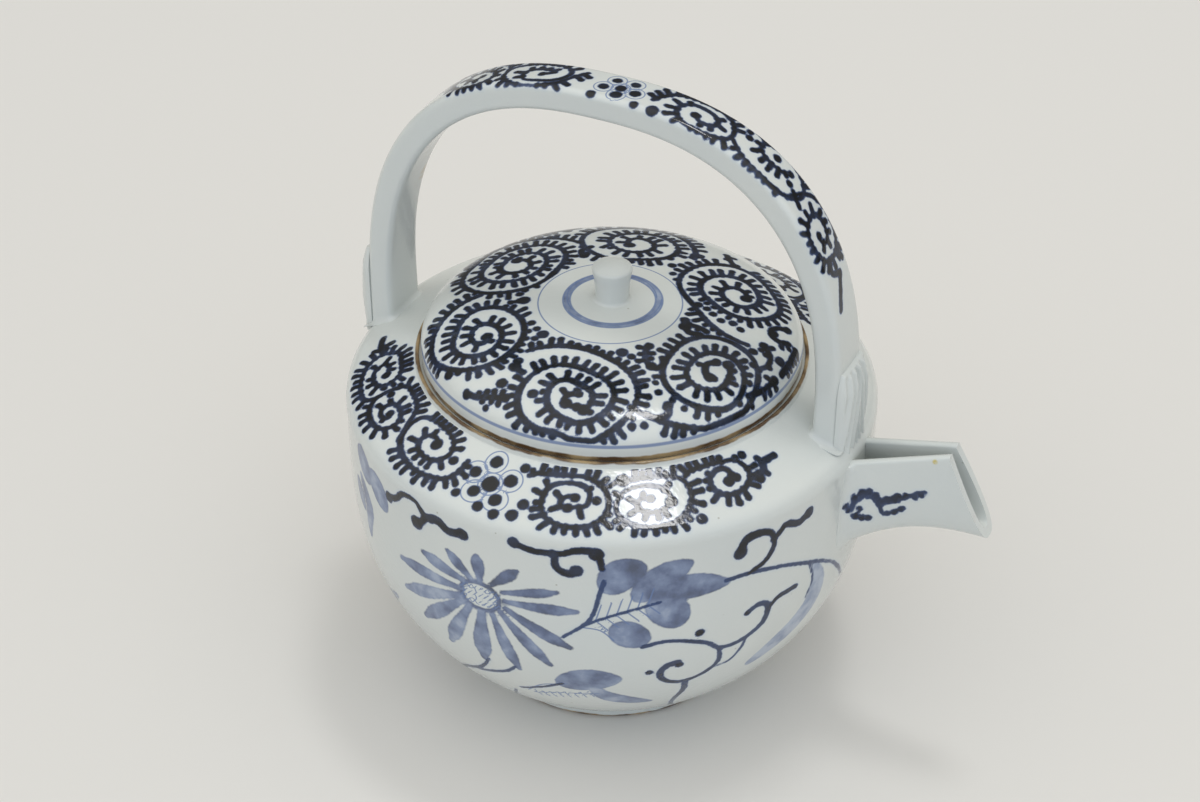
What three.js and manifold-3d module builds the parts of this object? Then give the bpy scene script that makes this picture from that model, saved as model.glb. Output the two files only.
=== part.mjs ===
// Lidded porcelain water pourer with an overhead strap handle, millimetres, +Z up.
// +X runs along the spout, and the pot stands on z = 0.
import * as THREE from 'three';
import { mergeVertices } from 'three/addons/utils/BufferGeometryUtils.js';
import Module from 'manifold-3d';

const wasm = await Module();
wasm.setup();

// Fineness of the turned and bent pieces
const TURN_STEPS = 64;
const CURVE_STEPS = 12;
const LID_STEPS = 20;
const CORNER_STEPS = 6;
const EDGE_STEPS = 2;

// Clearance between curved pieces that are luted together
const LUTE_GAP = 0.3;

// Foot ring
const FOOT_OUTER_R = 45;
const FOOT_WALL = 6.5;
const FOOT_HEIGHT = 4;
const FOOT_BEVEL = 0.8;

// Bowl of the pot
const BELLY_R = 85;
const BELLY_Z = 88;
const BELLY_POWER = 2.8;
const WALL = 5;
const FLOOR_THICKNESS = 6;
const SPLIT_Z = 103.8;

// Shoulder: a rounded corner and a shallow cone
const CORNER_R = 6;
const SHOULDER_WALL = 4.5;

// Neck ring with a stepped ledge that the lid sits in
const NECK_OUTER_R = 62.4;
const NECK_WALL = 5.2;
const NECK_TOP_Z = 118.8;
const NECK_HEIGHT = 2;
const NECK_FLARE = 0.4;
const NECK_BEVEL = 0.3;
const NECK_RIM = 1.2;
const LEDGE_DEPTH = 0.9;

// Lid
const LID_SETBACK = 1.9;
const LID_EDGE_HEIGHT = 2;
const LID_RISE = 16;
const LID_SPREAD = 1.8;
const LID_FULLNESS = 2.8;
const LID_WALL = 4.5;
const FLANGE_CLEARANCE = 1;
const FLANGE_THICKNESS = 3.5;
const FLANGE_DEPTH = 6;
const FLANGE_BEVEL = 1;

// Lid knob
const KNOB_TOP_R = 6.9;
const KNOB_WAIST_R = 5.6;
const KNOB_BASE_R = 7.2;
const KNOB_HEIGHT = 12.8;
const KNOB_CROWN = 1;
const KNOB_EDGE = 1.1;
const KNOB_FILLET = 1.5;

// Overhead strap handle
const HANDLE_INSET = 2.6;
const HANDLE_OFFSET_X = -2;
const HANDLE_SPRING_Z = 120;
const HANDLE_TOP_Z = 211.2;
const HANDLE_POWER = 2.48;
const HANDLE_THICKNESS = 8.9;
const HANDLE_TOP_WIDTH = 16.4;
const HANDLE_FOOT_WIDTH = 19;
const HANDLE_EDGE = 1.6;
const HANDLE_STEPS = 32;

// Leaf pads that cover the ends of the handle
const LEAF_WIDTH = 21;
const LEAF_THICKNESS = 3.5;
const LEAF_TIP_Z = 136.2;
const LEAF_SHOULDER_Z = 124;
const LEAF_LOW_Z = 104.2;
const LEAF_CURVE_STEPS = 6;

// Open spout, a trough that narrows to its mouth
const SPOUT_WALL = 2.8;
const SPOUT_REACH = 43.4;
const SPOUT_TOP_REACH = 29.6;
const SPOUT_ROOT_DEPTH = 12;
const SPOUT_ROOT_TOP_Z = 104.4;
const SPOUT_TIP_TOP_Z = 114.4;
const SPOUT_LIP_LOW_Z = 87.4;
const SPOUT_SAG = 15;
const SPOUT_SAG_POWER = 2.4;
const SPOUT_ROOT_LIP = 7.8;
const SPOUT_TIP_LIP = 4.6;
const SPOUT_ROOT_BELLY = 14.5;
const SPOUT_TIP_BELLY = 7;
const SPOUT_FLARE_POWER = 4;
const SPOUT_WALL_POWER = 1.6;
const SPOUT_SECTION_COUNT = 12;
const SPOUT_RING_STEPS = 10;

// Water hole through the wall behind the spout
const HOLE_WIDTH = 9;
const HOLE_LOW_Z = 80;
const HOLE_HIGH_Z = 98;

const GLAZE = { color: 0xd6dde0, roughness: 0.12, metalness: 0 };
const BARE_CLAY = { color: 0xc9b79c, roughness: 0.8, metalness: 0 };
const IRON_RIM = { color: 0x8a6f4c, roughness: 0.45, metalness: 0 };

function named(name, geometry, finish) {
  const mesh = new THREE.Mesh(geometry, new THREE.MeshStandardMaterial(finish));
  mesh.name = name;
  return mesh;
}

// Turns a closed (radius, height) outline round the Z axis.
function turned(outline, steps = TURN_STEPS) {
  const geometry = new THREE.LatheGeometry(outline.map(([r, z]) => new THREE.Vector2(r, z)), steps);
  geometry.rotateX(Math.PI / 2);
  return geometry;
}

function welded(geometry) {
  const plain = geometry.index ? geometry.toNonIndexed() : geometry.clone();
  plain.deleteAttribute('normal');
  plain.deleteAttribute('uv');
  return mergeVertices(plain, 1e-4);
}

function solid(geometry) {
  const joined = welded(geometry);
  const vertProperties = new Float32Array(joined.attributes.position.array);
  const triVerts = new Uint32Array(joined.index.array);
  return new wasm.Manifold(new wasm.Mesh({ numProp: 3, vertProperties, triVerts }));
}

function geometryOf(manifold) {
  const mesh = manifold.getMesh();
  const geometry = new THREE.BufferGeometry();
  geometry.setAttribute('position', new THREE.BufferAttribute(mesh.vertProperties, 3));
  geometry.setIndex(new THREE.BufferAttribute(mesh.triVerts, 1));
  return geometry;
}

function arcPoints(centreR, centreZ, radius, fromDeg, toDeg, steps) {
  const points = [];
  for (let i = 0; i <= steps; i += 1) {
    const angle = THREE.MathUtils.degToRad(fromDeg + ((toDeg - fromDeg) * i) / steps);
    points.push([centreR + radius * Math.cos(angle), centreZ + radius * Math.sin(angle)]);
  }
  return points;
}

// Outer radius of the bowl at a height: it flares from the foot and turns upright at the belly.
function bowlRadius(z) {
  const t = THREE.MathUtils.clamp((z - FOOT_HEIGHT) / (BELLY_Z - FOOT_HEIGHT), 0, 1);
  return BELLY_R - (BELLY_R - FOOT_OUTER_R) * (1 - t) ** BELLY_POWER;
}

function bowlOuter() {
  const points = [];
  for (let i = 0; i <= CURVE_STEPS; i += 1) {
    const z = FOOT_HEIGHT + (BELLY_Z - FOOT_HEIGHT) * (i / CURVE_STEPS) ** 1.5;
    points.push([bowlRadius(z), z]);
  }
  return points;
}

const FLOOR_Z = FOOT_HEIGHT + FLOOR_THICKNESS;

function bowlInner() {
  return bowlOuter().map(([r, z]) => [r - WALL, z]).filter(([, z]) => z > FLOOR_Z + 1);
}

const NECK_BASE_Z = NECK_TOP_Z - NECK_HEIGHT;
const NECK_BASE_R = NECK_OUTER_R + NECK_FLARE;
const NECK_INNER_R = NECK_OUTER_R - NECK_WALL;
const LEDGE_R = NECK_OUTER_R - NECK_RIM;
const LID_SEAT_Z = NECK_TOP_Z - LEDGE_DEPTH;

// A rounded corner from the upright wall, then a cone that leaves it smoothly for the neck.
function shoulderProfile(inset) {
  const centreR = BELLY_R - CORNER_R;
  const radius = CORNER_R - inset;
  const inward = NECK_BASE_R - centreR;
  const upward = NECK_BASE_Z - inset - SPLIT_Z;
  const tangent = Math.atan2(upward, inward) - Math.acos(radius / Math.hypot(inward, upward));
  const corner = arcPoints(centreR, SPLIT_Z, radius, 0, THREE.MathUtils.radToDeg(tangent), CORNER_STEPS);
  return [...corner, [NECK_BASE_R, NECK_BASE_Z - inset]];
}

function footRing() {
  const innerR = FOOT_OUTER_R - FOOT_WALL;
  return turned([
    [innerR, FOOT_BEVEL], [innerR + FOOT_BEVEL, 0], [FOOT_OUTER_R - FOOT_BEVEL, 0],
    [FOOT_OUTER_R, FOOT_BEVEL], [FOOT_OUTER_R, FOOT_HEIGHT], [innerR, FOOT_HEIGHT],
    [innerR, FOOT_BEVEL],
  ]);
}

function bowl() {
  const inner = bowlInner();
  const floorR = inner[0][0] - WALL;
  const outline = [
    [0, FOOT_HEIGHT], ...bowlOuter(), [BELLY_R, SPLIT_Z],
    [BELLY_R - WALL, SPLIT_Z], ...inner.reverse(), [floorR, FLOOR_Z], [0, FLOOR_Z],
  ];
  const wall = solid(turned(outline));
  const hole = new THREE.BoxGeometry(BELLY_R, HOLE_WIDTH, HOLE_HIGH_Z - HOLE_LOW_Z);
  hole.translate(BELLY_R, 0, (HOLE_HIGH_Z + HOLE_LOW_Z) / 2);
  return geometryOf(wall.subtract(solid(hole)));
}

function shoulder() {
  const outer = shoulderProfile(0);
  const inner = shoulderProfile(SHOULDER_WALL).slice(0, -1);
  return turned([...outer, [NECK_INNER_R, NECK_BASE_Z], [NECK_INNER_R, NECK_BASE_Z - SHOULDER_WALL],
    ...inner.reverse(), outer[0]]);
}

function neckRing() {
  return turned([
    [NECK_BASE_R, NECK_BASE_Z], [NECK_OUTER_R, NECK_BASE_Z + NECK_BEVEL], [NECK_OUTER_R, NECK_TOP_Z - NECK_BEVEL],
    [NECK_OUTER_R - NECK_BEVEL, NECK_TOP_Z], [LEDGE_R, NECK_TOP_Z], [LEDGE_R, LID_SEAT_Z],
    [NECK_INNER_R, LID_SEAT_Z], [NECK_INNER_R, NECK_BASE_Z], [NECK_BASE_R, NECK_BASE_Z],
  ]);
}

const LID_R = NECK_OUTER_R - LID_SETBACK;
const LID_EDGE_Z = NECK_TOP_Z + LID_EDGE_HEIGHT;

// Points along the lid's full domed face from one radius out to another, at an inset below it.
function domeOutline(fromR, toR, inset) {
  const reach = LID_R - inset;
  const angleAt = (r) => Math.asin((r / reach) ** (LID_SPREAD / 2));
  const start = angleAt(fromR);
  const points = [];
  for (let i = 0; i <= LID_STEPS; i += 1) {
    const angle = start + ((angleAt(toR) - start) * i) / LID_STEPS;
    points.push([
      reach * Math.sin(angle) ** (2 / LID_SPREAD),
      LID_EDGE_Z + (LID_RISE - inset) * Math.cos(angle) ** (2 / LID_FULLNESS),
    ]);
  }
  return points;
}

const FLANGE_OUTER_R = NECK_INNER_R - FLANGE_CLEARANCE;
const FLANGE_INNER_R = FLANGE_OUTER_R - FLANGE_THICKNESS;
const LID_FACE = domeOutline(KNOB_BASE_R, LID_R, 0);
const KNOB_SEAT_Z = LID_FACE[0][1];

function lidDome() {
  const under = domeOutline(0, FLANGE_INNER_R, LID_WALL);
  return turned([
    ...under, [FLANGE_INNER_R, LID_SEAT_Z], [LID_R, LID_SEAT_Z], ...[...LID_FACE].reverse(), [0, KNOB_SEAT_Z],
  ]);
}

function lidFlange() {
  const low = LID_SEAT_Z - FLANGE_DEPTH;
  return turned([
    [FLANGE_INNER_R, LID_SEAT_Z], [FLANGE_INNER_R, low], [FLANGE_OUTER_R - FLANGE_BEVEL, low],
    [FLANGE_OUTER_R, low + FLANGE_BEVEL],
    [FLANGE_OUTER_R, LID_SEAT_Z], [FLANGE_INNER_R, LID_SEAT_Z],
  ]);
}

function lidKnob() {
  const top = KNOB_SEAT_Z + KNOB_HEIGHT;
  const rim = arcPoints(KNOB_TOP_R - KNOB_EDGE, top - KNOB_CROWN - KNOB_EDGE, KNOB_EDGE, 0, 75, CORNER_STEPS);
  return turned([
    [0, KNOB_SEAT_Z], [KNOB_BASE_R, KNOB_SEAT_Z], [KNOB_WAIST_R, KNOB_SEAT_Z + KNOB_FILLET],
    ...rim, [0, top],
  ], TURN_STEPS / 2);
}

const HANDLE_HALF_SPAN = BELLY_R - HANDLE_INSET;

// The strap's outline is a superellipse over upright legs that run down into the shoulder.
function archOutline(inset) {
  const points = [];
  const a = HANDLE_HALF_SPAN - inset;
  const b = HANDLE_TOP_Z - HANDLE_SPRING_Z - inset;
  points.push([-a, SPLIT_Z]);
  for (let i = 0; i <= HANDLE_STEPS; i += 1) {
    const angle = Math.PI * (1 - i / HANDLE_STEPS);
    const c = Math.cos(angle);
    const x = Math.sign(c) * a * Math.abs(c) ** (2 / HANDLE_POWER);
    const z = b * Math.sin(angle) ** (2 / HANDLE_POWER);
    points.push([x, HANDLE_SPRING_Z + z]);
  }
  points.push([a, SPLIT_Z]);
  return points.map(([x, z]) => [x + HANDLE_OFFSET_X, z]);
}

function slab(outline, width, edge) {
  const shape = new THREE.Shape(outline.map(([x, z]) => new THREE.Vector2(x, z)));
  const geometry = new THREE.ExtrudeGeometry(shape, {
    depth: width - 2 * edge, bevelEnabled: edge > 0, bevelThickness: edge, bevelSize: edge,
    bevelOffset: -edge, bevelSegments: EDGE_STEPS, steps: 1,
  });
  geometry.translate(0, 0, edge - width / 2);
  geometry.rotateX(Math.PI / 2);
  return geometry;
}

// The pot's whole outside, grown by the luting gap, which trims what is stuck on to it.
function potEnvelope() {
  const grown = [...bowlOuter(), ...shoulderProfile(0)];
  const profile = grown.map(([r, z]) => [r + LUTE_GAP, z + LUTE_GAP]);
  const [lowest] = profile;
  const highest = profile[profile.length - 1];
  return solid(turned([[0, lowest[1]], ...profile, [0, highest[1]]]));
}

const POT = potEnvelope();

// The strap widens evenly from the crown of the arch to its feet.
function strap(grow) {
  const width = HANDLE_TOP_WIDTH + 2 * grow;
  const outline = [...archOutline(-grow), ...archOutline(HANDLE_THICKNESS + grow).reverse()];
  const geometry = slab(outline, width, HANDLE_EDGE);
  const places = geometry.attributes.position;
  const spread = (HANDLE_FOOT_WIDTH - HANDLE_TOP_WIDTH) / HANDLE_TOP_WIDTH;
  for (let i = 0; i < places.count; i += 1) {
    const fall = (HANDLE_TOP_Z - places.getZ(i)) / (HANDLE_TOP_Z - SPLIT_Z);
    places.setY(i, places.getY(i) * (1 + spread * fall));
  }
  return solid(geometry);
}

function handle() {
  return geometryOf(strap(0).subtract(POT));
}

// A pad shaped like a broad leaf, laid against the outside of a leg.
function leafPad(side, grow) {
  const half = LEAF_WIDTH / 2 + grow;
  const top = LEAF_TIP_Z + grow;
  const bevel = LEAF_THICKNESS / 2;
  const outline = new THREE.Shape();
  outline.moveTo(0, top);
  outline.quadraticCurveTo(-half, top, -half, LEAF_SHOULDER_Z);
  outline.lineTo(-half, LEAF_LOW_Z - grow);
  outline.lineTo(half, LEAF_LOW_Z - grow);
  outline.lineTo(half, LEAF_SHOULDER_Z);
  outline.quadraticCurveTo(half, top, 0, top);
  const pad = new THREE.ExtrudeGeometry(outline, {
    depth: bevel + grow, bevelEnabled: true, bevelThickness: bevel, bevelSize: bevel, bevelOffset: -bevel,
    bevelSegments: EDGE_STEPS, curveSegments: LEAF_CURVE_STEPS, steps: 1,
  });
  pad.rotateX(Math.PI / 2);
  pad.rotateZ(side * Math.PI / 2);
  pad.translate(HANDLE_OFFSET_X + side * HANDLE_HALF_SPAN, 0, 0);
  return solid(pad);
}

const GROWN_STRAP = strap(LUTE_GAP);

function leaf(side) {
  return geometryOf(leafPad(side, 0).subtract(GROWN_STRAP).subtract(POT));
}

// Cross section of the trough at a distance from the wall: half widths and heights.
function spoutSection(distance) {
  const t = THREE.MathUtils.clamp(distance / SPOUT_REACH, 0, 1);
  const along = distance / SPOUT_TOP_REACH;
  return {
    x: BELLY_R + distance,
    top: SPOUT_ROOT_TOP_Z + (SPOUT_TIP_TOP_Z - SPOUT_ROOT_TOP_Z) * along,
    bottom: SPOUT_LIP_LOW_Z - SPOUT_SAG * (1 - t) ** SPOUT_SAG_POWER,
    lip: SPOUT_ROOT_LIP + (SPOUT_TIP_LIP - SPOUT_ROOT_LIP) * Math.min(along, 1),
    belly: SPOUT_TIP_BELLY + (SPOUT_ROOT_BELLY - SPOUT_TIP_BELLY) * (1 - t) ** SPOUT_FLARE_POWER,
  };
}

// Walks the U from the near lip round the bottom to the far lip, outside then inside.
function spoutRing(section) {
  const ring = [];
  const height = section.top - section.bottom;
  for (const inset of [0, SPOUT_WALL]) {
    for (let i = 0; i <= SPOUT_RING_STEPS; i += 1) {
      const k = inset === 0 ? i : SPOUT_RING_STEPS - i;
      const angle = Math.PI * (1 + k / SPOUT_RING_STEPS);
      const rise = 1 + Math.sin(angle);
      const half = section.lip + (section.belly - section.lip) * (1 - rise ** 2) - inset;
      const y = Math.cos(angle) * half;
      const z = section.bottom + inset + (height - inset) * rise ** SPOUT_WALL_POWER;
      ring.push(new THREE.Vector3(section.x, y, z));
    }
  }
  return ring;
}

function loft(rings) {
  const count = rings[0].length;
  const positions = rings.flat().flatMap((p) => [p.x, p.y, p.z]);
  const index = [];
  for (let s = 0; s < rings.length - 1; s += 1) {
    for (let i = 0; i < count; i += 1) {
      const a = s * count + i;
      const b = s * count + ((i + 1) % count);
      index.push(a, b, a + count, b, b + count, a + count);
    }
  }
  const half = count / 2;
  const last = (rings.length - 1) * count;
  for (let i = 0; i < half - 1; i += 1) {
    const j = count - 1 - i;
    index.push(i, j, i + 1, j, j - 1, i + 1);
    index.push(last + i, last + i + 1, last + j, last + j, last + i + 1, last + j - 1);
  }
  const geometry = new THREE.BufferGeometry();
  geometry.setAttribute('position', new THREE.Float32BufferAttribute(positions, 3));
  geometry.setIndex(index);
  return geometry;
}

// A slanted plane cuts the mouth back, so the lower lip stands forward.
function spout() {
  const rings = [];
  for (let i = 0; i <= SPOUT_SECTION_COUNT; i += 1) {
    const t = i / SPOUT_SECTION_COUNT;
    rings.push(spoutRing(spoutSection(-SPOUT_ROOT_DEPTH + (SPOUT_REACH + SPOUT_ROOT_DEPTH) * t)));
  }
  const tipX = BELLY_R + SPOUT_REACH;
  const cornerX = BELLY_R + SPOUT_TOP_REACH;
  const lean = (tipX - cornerX) / (SPOUT_TIP_TOP_Z - SPOUT_LIP_LOW_Z);
  const reach = SPOUT_REACH;
  const cutter = slab([
    [tipX, SPOUT_LIP_LOW_Z], [tipX + reach, SPOUT_LIP_LOW_Z], [tipX + reach, SPOUT_TIP_TOP_Z + reach],
    [cornerX - lean * reach, SPOUT_TIP_TOP_Z + reach],
  ], 2 * reach, 0);
  const stuckOn = GROWN_STRAP.add(leafPad(1, LUTE_GAP));
  return geometryOf(solid(loft(rings)).subtract(solid(cutter)).subtract(POT).subtract(stuckOn));
}

const pourer = new THREE.Group();
pourer.add(
  named('foot_ring', footRing(), BARE_CLAY),
  named('bowl', bowl(), GLAZE),
  named('shoulder', shoulder(), GLAZE),
  named('neck_ring', neckRing(), IRON_RIM),
  named('spout', spout(), GLAZE),
  named('handle', handle(), GLAZE),
  named('front_leaf', leaf(1), GLAZE),
  named('rear_leaf', leaf(-1), GLAZE),
  named('lid_dome', lidDome(), GLAZE),
  named('lid_flange', lidFlange(), BARE_CLAY),
  named('lid_knob', lidKnob(), GLAZE),
);

// The middle of the whole length lies on x = 0.
const reach = new THREE.Box3().setFromObject(pourer);
pourer.position.x = -(reach.min.x + reach.max.x) / 2;

export default pourer;
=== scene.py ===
import math

import bpy
import numpy as np
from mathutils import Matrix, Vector


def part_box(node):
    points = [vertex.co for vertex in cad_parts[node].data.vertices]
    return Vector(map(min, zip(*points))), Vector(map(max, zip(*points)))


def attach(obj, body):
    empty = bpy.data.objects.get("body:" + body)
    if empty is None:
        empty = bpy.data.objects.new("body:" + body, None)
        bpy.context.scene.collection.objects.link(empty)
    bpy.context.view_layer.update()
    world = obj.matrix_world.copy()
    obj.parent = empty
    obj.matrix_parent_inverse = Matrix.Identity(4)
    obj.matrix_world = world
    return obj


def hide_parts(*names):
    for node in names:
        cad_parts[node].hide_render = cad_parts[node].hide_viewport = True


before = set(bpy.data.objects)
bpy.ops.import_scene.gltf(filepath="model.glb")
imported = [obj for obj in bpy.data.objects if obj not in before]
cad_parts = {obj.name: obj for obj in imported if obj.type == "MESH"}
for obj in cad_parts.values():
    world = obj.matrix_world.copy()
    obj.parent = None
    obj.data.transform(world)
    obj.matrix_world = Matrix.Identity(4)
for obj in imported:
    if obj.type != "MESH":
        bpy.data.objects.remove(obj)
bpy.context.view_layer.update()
scene = bpy.context.scene
scene.view_settings.view_transform = "Standard"

# Camera
# The photograph looks down on the pot from the front right of its spout side.
foot_low, foot_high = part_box("foot_ring")
AXIS_X = (foot_low.x + foot_high.x) / 2
CAMERA_TURN = math.radians(26.28)
CAMERA_RISE = math.radians(35.71)
CAMERA_DISTANCE = 0.74261
LOOK_AT = Vector((AXIS_X - 0.003434, -0.001696, 0.09677))

camera_data = bpy.data.cameras.new("camera")
camera_data.sensor_width = 36
camera_data.lens = 69
camera = bpy.data.objects.new("camera", camera_data)
camera_back = Vector((
    math.sin(CAMERA_TURN) * math.cos(CAMERA_RISE),
    -math.cos(CAMERA_TURN) * math.cos(CAMERA_RISE),
    math.sin(CAMERA_RISE)))
camera.location = LOOK_AT + camera_back * CAMERA_DISTANCE
camera.rotation_euler = (LOOK_AT - camera.location).to_track_quat("-Z", "Y").to_euler()
scene.collection.objects.link(camera)
scene.camera = camera

# Foot ring
# A low ring turned from the thick base with the pot upside down on the wheel.
# It is bare where it stood on the kiln shelf, and the fired porcelain there has toasted buff.
FOOT_OUTER_R = 45
FOOT_WALL = 6.5
FOOT_HEIGHT = 4
FOOT_ROUND = 1.1
SHARP_EDGE = math.radians(50)


def srgb(code):
    values = [int(code[i:i + 2], 16) / 255 for i in (0, 2, 4)]
    linear = [v / 12.92 if v <= 0.04045 else ((v + 0.055) / 1.055) ** 2.4 for v in values]
    return (*linear, 1)


def node(tree, kind, settings=(), inputs=()):
    made = tree.nodes.new(kind)
    for name, value in dict(settings).items():
        setattr(made, name, value)
    for name, value in dict(inputs).items():
        if isinstance(value, bpy.types.NodeSocket):
            tree.links.new(value, made.inputs[name])
        else:
            made.inputs[name].default_value = value
    return made


# Walks an arc of (radius, height) points.
def arc(centre_r, centre_z, radius, start, end, steps):
    turn = np.radians(np.linspace(start, end, steps + 1))
    return np.stack([centre_r + radius * np.cos(turn), centre_z + radius * np.sin(turn)], -1)


# Spins an outline, walked up the outside and down the inside, round the pot's axis.
# Gives the points in millimetres and the grid of their numbers; a point on the axis is used once.
def spun(outline, columns=720):
    profile = np.asarray(outline, float)
    turn = np.arange(columns)[:, None] / columns * 2 * math.pi
    flat = np.ones_like(turn)
    points = np.stack([profile[:, 0] * np.cos(turn), profile[:, 0] * np.sin(turn), profile[:, 1] * flat], -1)
    numbers = np.arange(points.shape[0] * points.shape[1]).reshape(points.shape[:2])
    on_axis = profile[:, 0] == 0
    numbers[:, on_axis] = numbers[0, on_axis]
    used, packed = np.unique(numbers, return_inverse=True)
    return points.reshape(-1, 3)[used], packed.reshape(numbers.shape)


# Joins a grid of point numbers into faces; points that run together leave a triangle.
def skin(numbers, loop_first=True, loop_second=True):
    if loop_first:
        numbers = np.vstack([numbers, numbers[:1]])
    if loop_second:
        numbers = np.hstack([numbers, numbers[:, :1]])
    corners = [numbers[:-1, :-1], numbers[1:, :-1], numbers[1:, 1:], numbers[:-1, 1:]]
    quads = np.stack(corners, -1).reshape(-1, 4).tolist()
    return [face for face in (tuple(dict.fromkeys(quad)) for quad in quads) if len(face) > 2]


def fired(name, points, faces, finish):
    places = np.asarray(points, float) / 1000
    places[:, 0] += AXIS_X
    mesh = bpy.data.meshes.new(name)
    mesh.from_pydata(places.tolist(), [], faces)
    mesh.polygons.foreach_set("use_smooth", [True] * len(mesh.polygons))
    mesh.set_sharp_from_angle(angle=SHARP_EDGE)
    mesh.materials.append(finish)
    made = bpy.data.objects.new(name, mesh)
    scene.collection.objects.link(made)
    return made


# Unglazed fired porcelain: dry and fine grained, turned on the wheel and toasted buff in patches.
# The eye sees a matt surface with faint turning lines and a warm blush.
def unglazed(name, pale, toasted, patch_mm, turning_mm):
    material = bpy.data.materials.new(name)
    material.use_nodes = True
    tree = material.node_tree
    shader = tree.nodes["Principled BSDF"]
    place = node(tree, "ShaderNodeTexCoord").outputs["Object"]
    patch = node(tree, "ShaderNodeTexNoise", inputs={
        "Vector": place, "Scale": 1000 / patch_mm, "Detail": 5, "Roughness": 0.62})
    spread = node(tree, "ShaderNodeMapRange", {"interpolation_type": "SMOOTHSTEP"}, {
        "Value": patch.outputs["Fac"], "From Min": 0.36, "From Max": 0.66})
    colour = node(tree, "ShaderNodeMix", {"data_type": "RGBA"}, {
        "Factor": spread.outputs["Result"], "A": srgb(pale), "B": srgb(toasted)})
    split = node(tree, "ShaderNodeSeparateXYZ", inputs={"Vector": place})
    rise = node(tree, "ShaderNodeMath", {"operation": "MULTIPLY"}, {0: split.outputs["Z"], 1: 1000 / turning_mm})
    lines = node(tree, "ShaderNodeTexNoise", {"noise_dimensions": "1D"}, {
        "W": rise.outputs["Value"], "Scale": 1, "Detail": 2})
    grain = node(tree, "ShaderNodeTexNoise", inputs={"Vector": place, "Scale": 1000 / 0.6, "Detail": 3})
    rough = node(tree, "ShaderNodeMath", {"operation": "ADD"}, {
        0: lines.outputs["Fac"], 1: grain.outputs["Fac"]})
    bump = node(tree, "ShaderNodeBump", inputs={
        "Height": rough.outputs["Value"], "Strength": 0.3, "Distance": 0.0002})
    tree.links.new(colour.outputs["Result"], shader.inputs["Base Color"])
    tree.links.new(bump.outputs["Normal"], shader.inputs["Normal"])
    shader.inputs["Roughness"].default_value = 0.78
    return material


bare_clay = unglazed("unglazed_fired_porcelain", "CFC4B2", "B49A76", 9, 0.5)
foot_inner_r = FOOT_OUTER_R - FOOT_WALL
foot_outline = [
    *arc(foot_inner_r + FOOT_ROUND, FOOT_ROUND, FOOT_ROUND, 180, 270, 5),
    *arc(FOOT_OUTER_R - FOOT_ROUND, FOOT_ROUND, FOOT_ROUND, 270, 360, 5),
    (FOOT_OUTER_R, 2.4), (FOOT_OUTER_R, FOOT_HEIGHT),
    (foot_inner_r, FOOT_HEIGHT), (foot_inner_r, 2.4)]
foot_points, foot_numbers = spun(foot_outline, 240)

# Bowl
# The thrown wall and floor of the pot, in white porcelain under a clear bluish glaze.
# It swells from the foot to an upright belly, and a hole is cut behind the spout.
BELLY_R = 85
BELLY_Z = 88
BELLY_POWER = 2.8
SPLIT_Z = 103.8
WALL = 5
FLOOR_Z = 10
BOWL_COLUMNS = 576
HOLE_COLUMNS = 5
HOLE_LOW_Z = 80
HOLE_HIGH_Z = 98
HOLE_ROUNDING = 3
HIDDEN_STEP = 0.08


def bowl_radius(z):
    t = np.clip((np.asarray(z, float) - FOOT_HEIGHT) / (BELLY_Z - FOOT_HEIGHT), 0, 1)
    return BELLY_R - (BELLY_R - FOOT_OUTER_R) * (1 - t) ** BELLY_POWER


# Spreads points evenly along a line of points.
def evenly(points, spacing):
    points = np.asarray(points, float)
    run = np.concatenate([[0], np.cumsum(np.linalg.norm(np.diff(points, axis=0), axis=1))])
    at = np.linspace(0, run[-1], max(2, round(run[-1] / spacing) + 1))
    return np.stack([np.interp(at, run, column) for column in points.T], -1)


# Clear glaze over white porcelain: a thin bluish glass, fired glossy over a slightly mottled body.
# The eye sees a cool white with soft clouding, tiny pits and a faint orange peel in the highlights.
# Where the piece is painted, cobalt lies under the glass: brushed strokes near black in the middle
# with blue edges that bled a little, pale washes that pooled unevenly, and fine pencilled lines.
# Kiln stains in the glaze: centre in mm, radius in mm, tint and strength.
KILN_STAINS = (
    ((-87.6, 7, 174.5), 5, "C9B592", 0.75), ((-91.2, 7, 161.5), 5, "CDBB9A", 0.6),
    ((106.3, -5, 96.9), 3.4, "B98A72", 0.45), ((90.1, -5, 112.6), 1.1, "C9B44A", 0.8))


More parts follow.
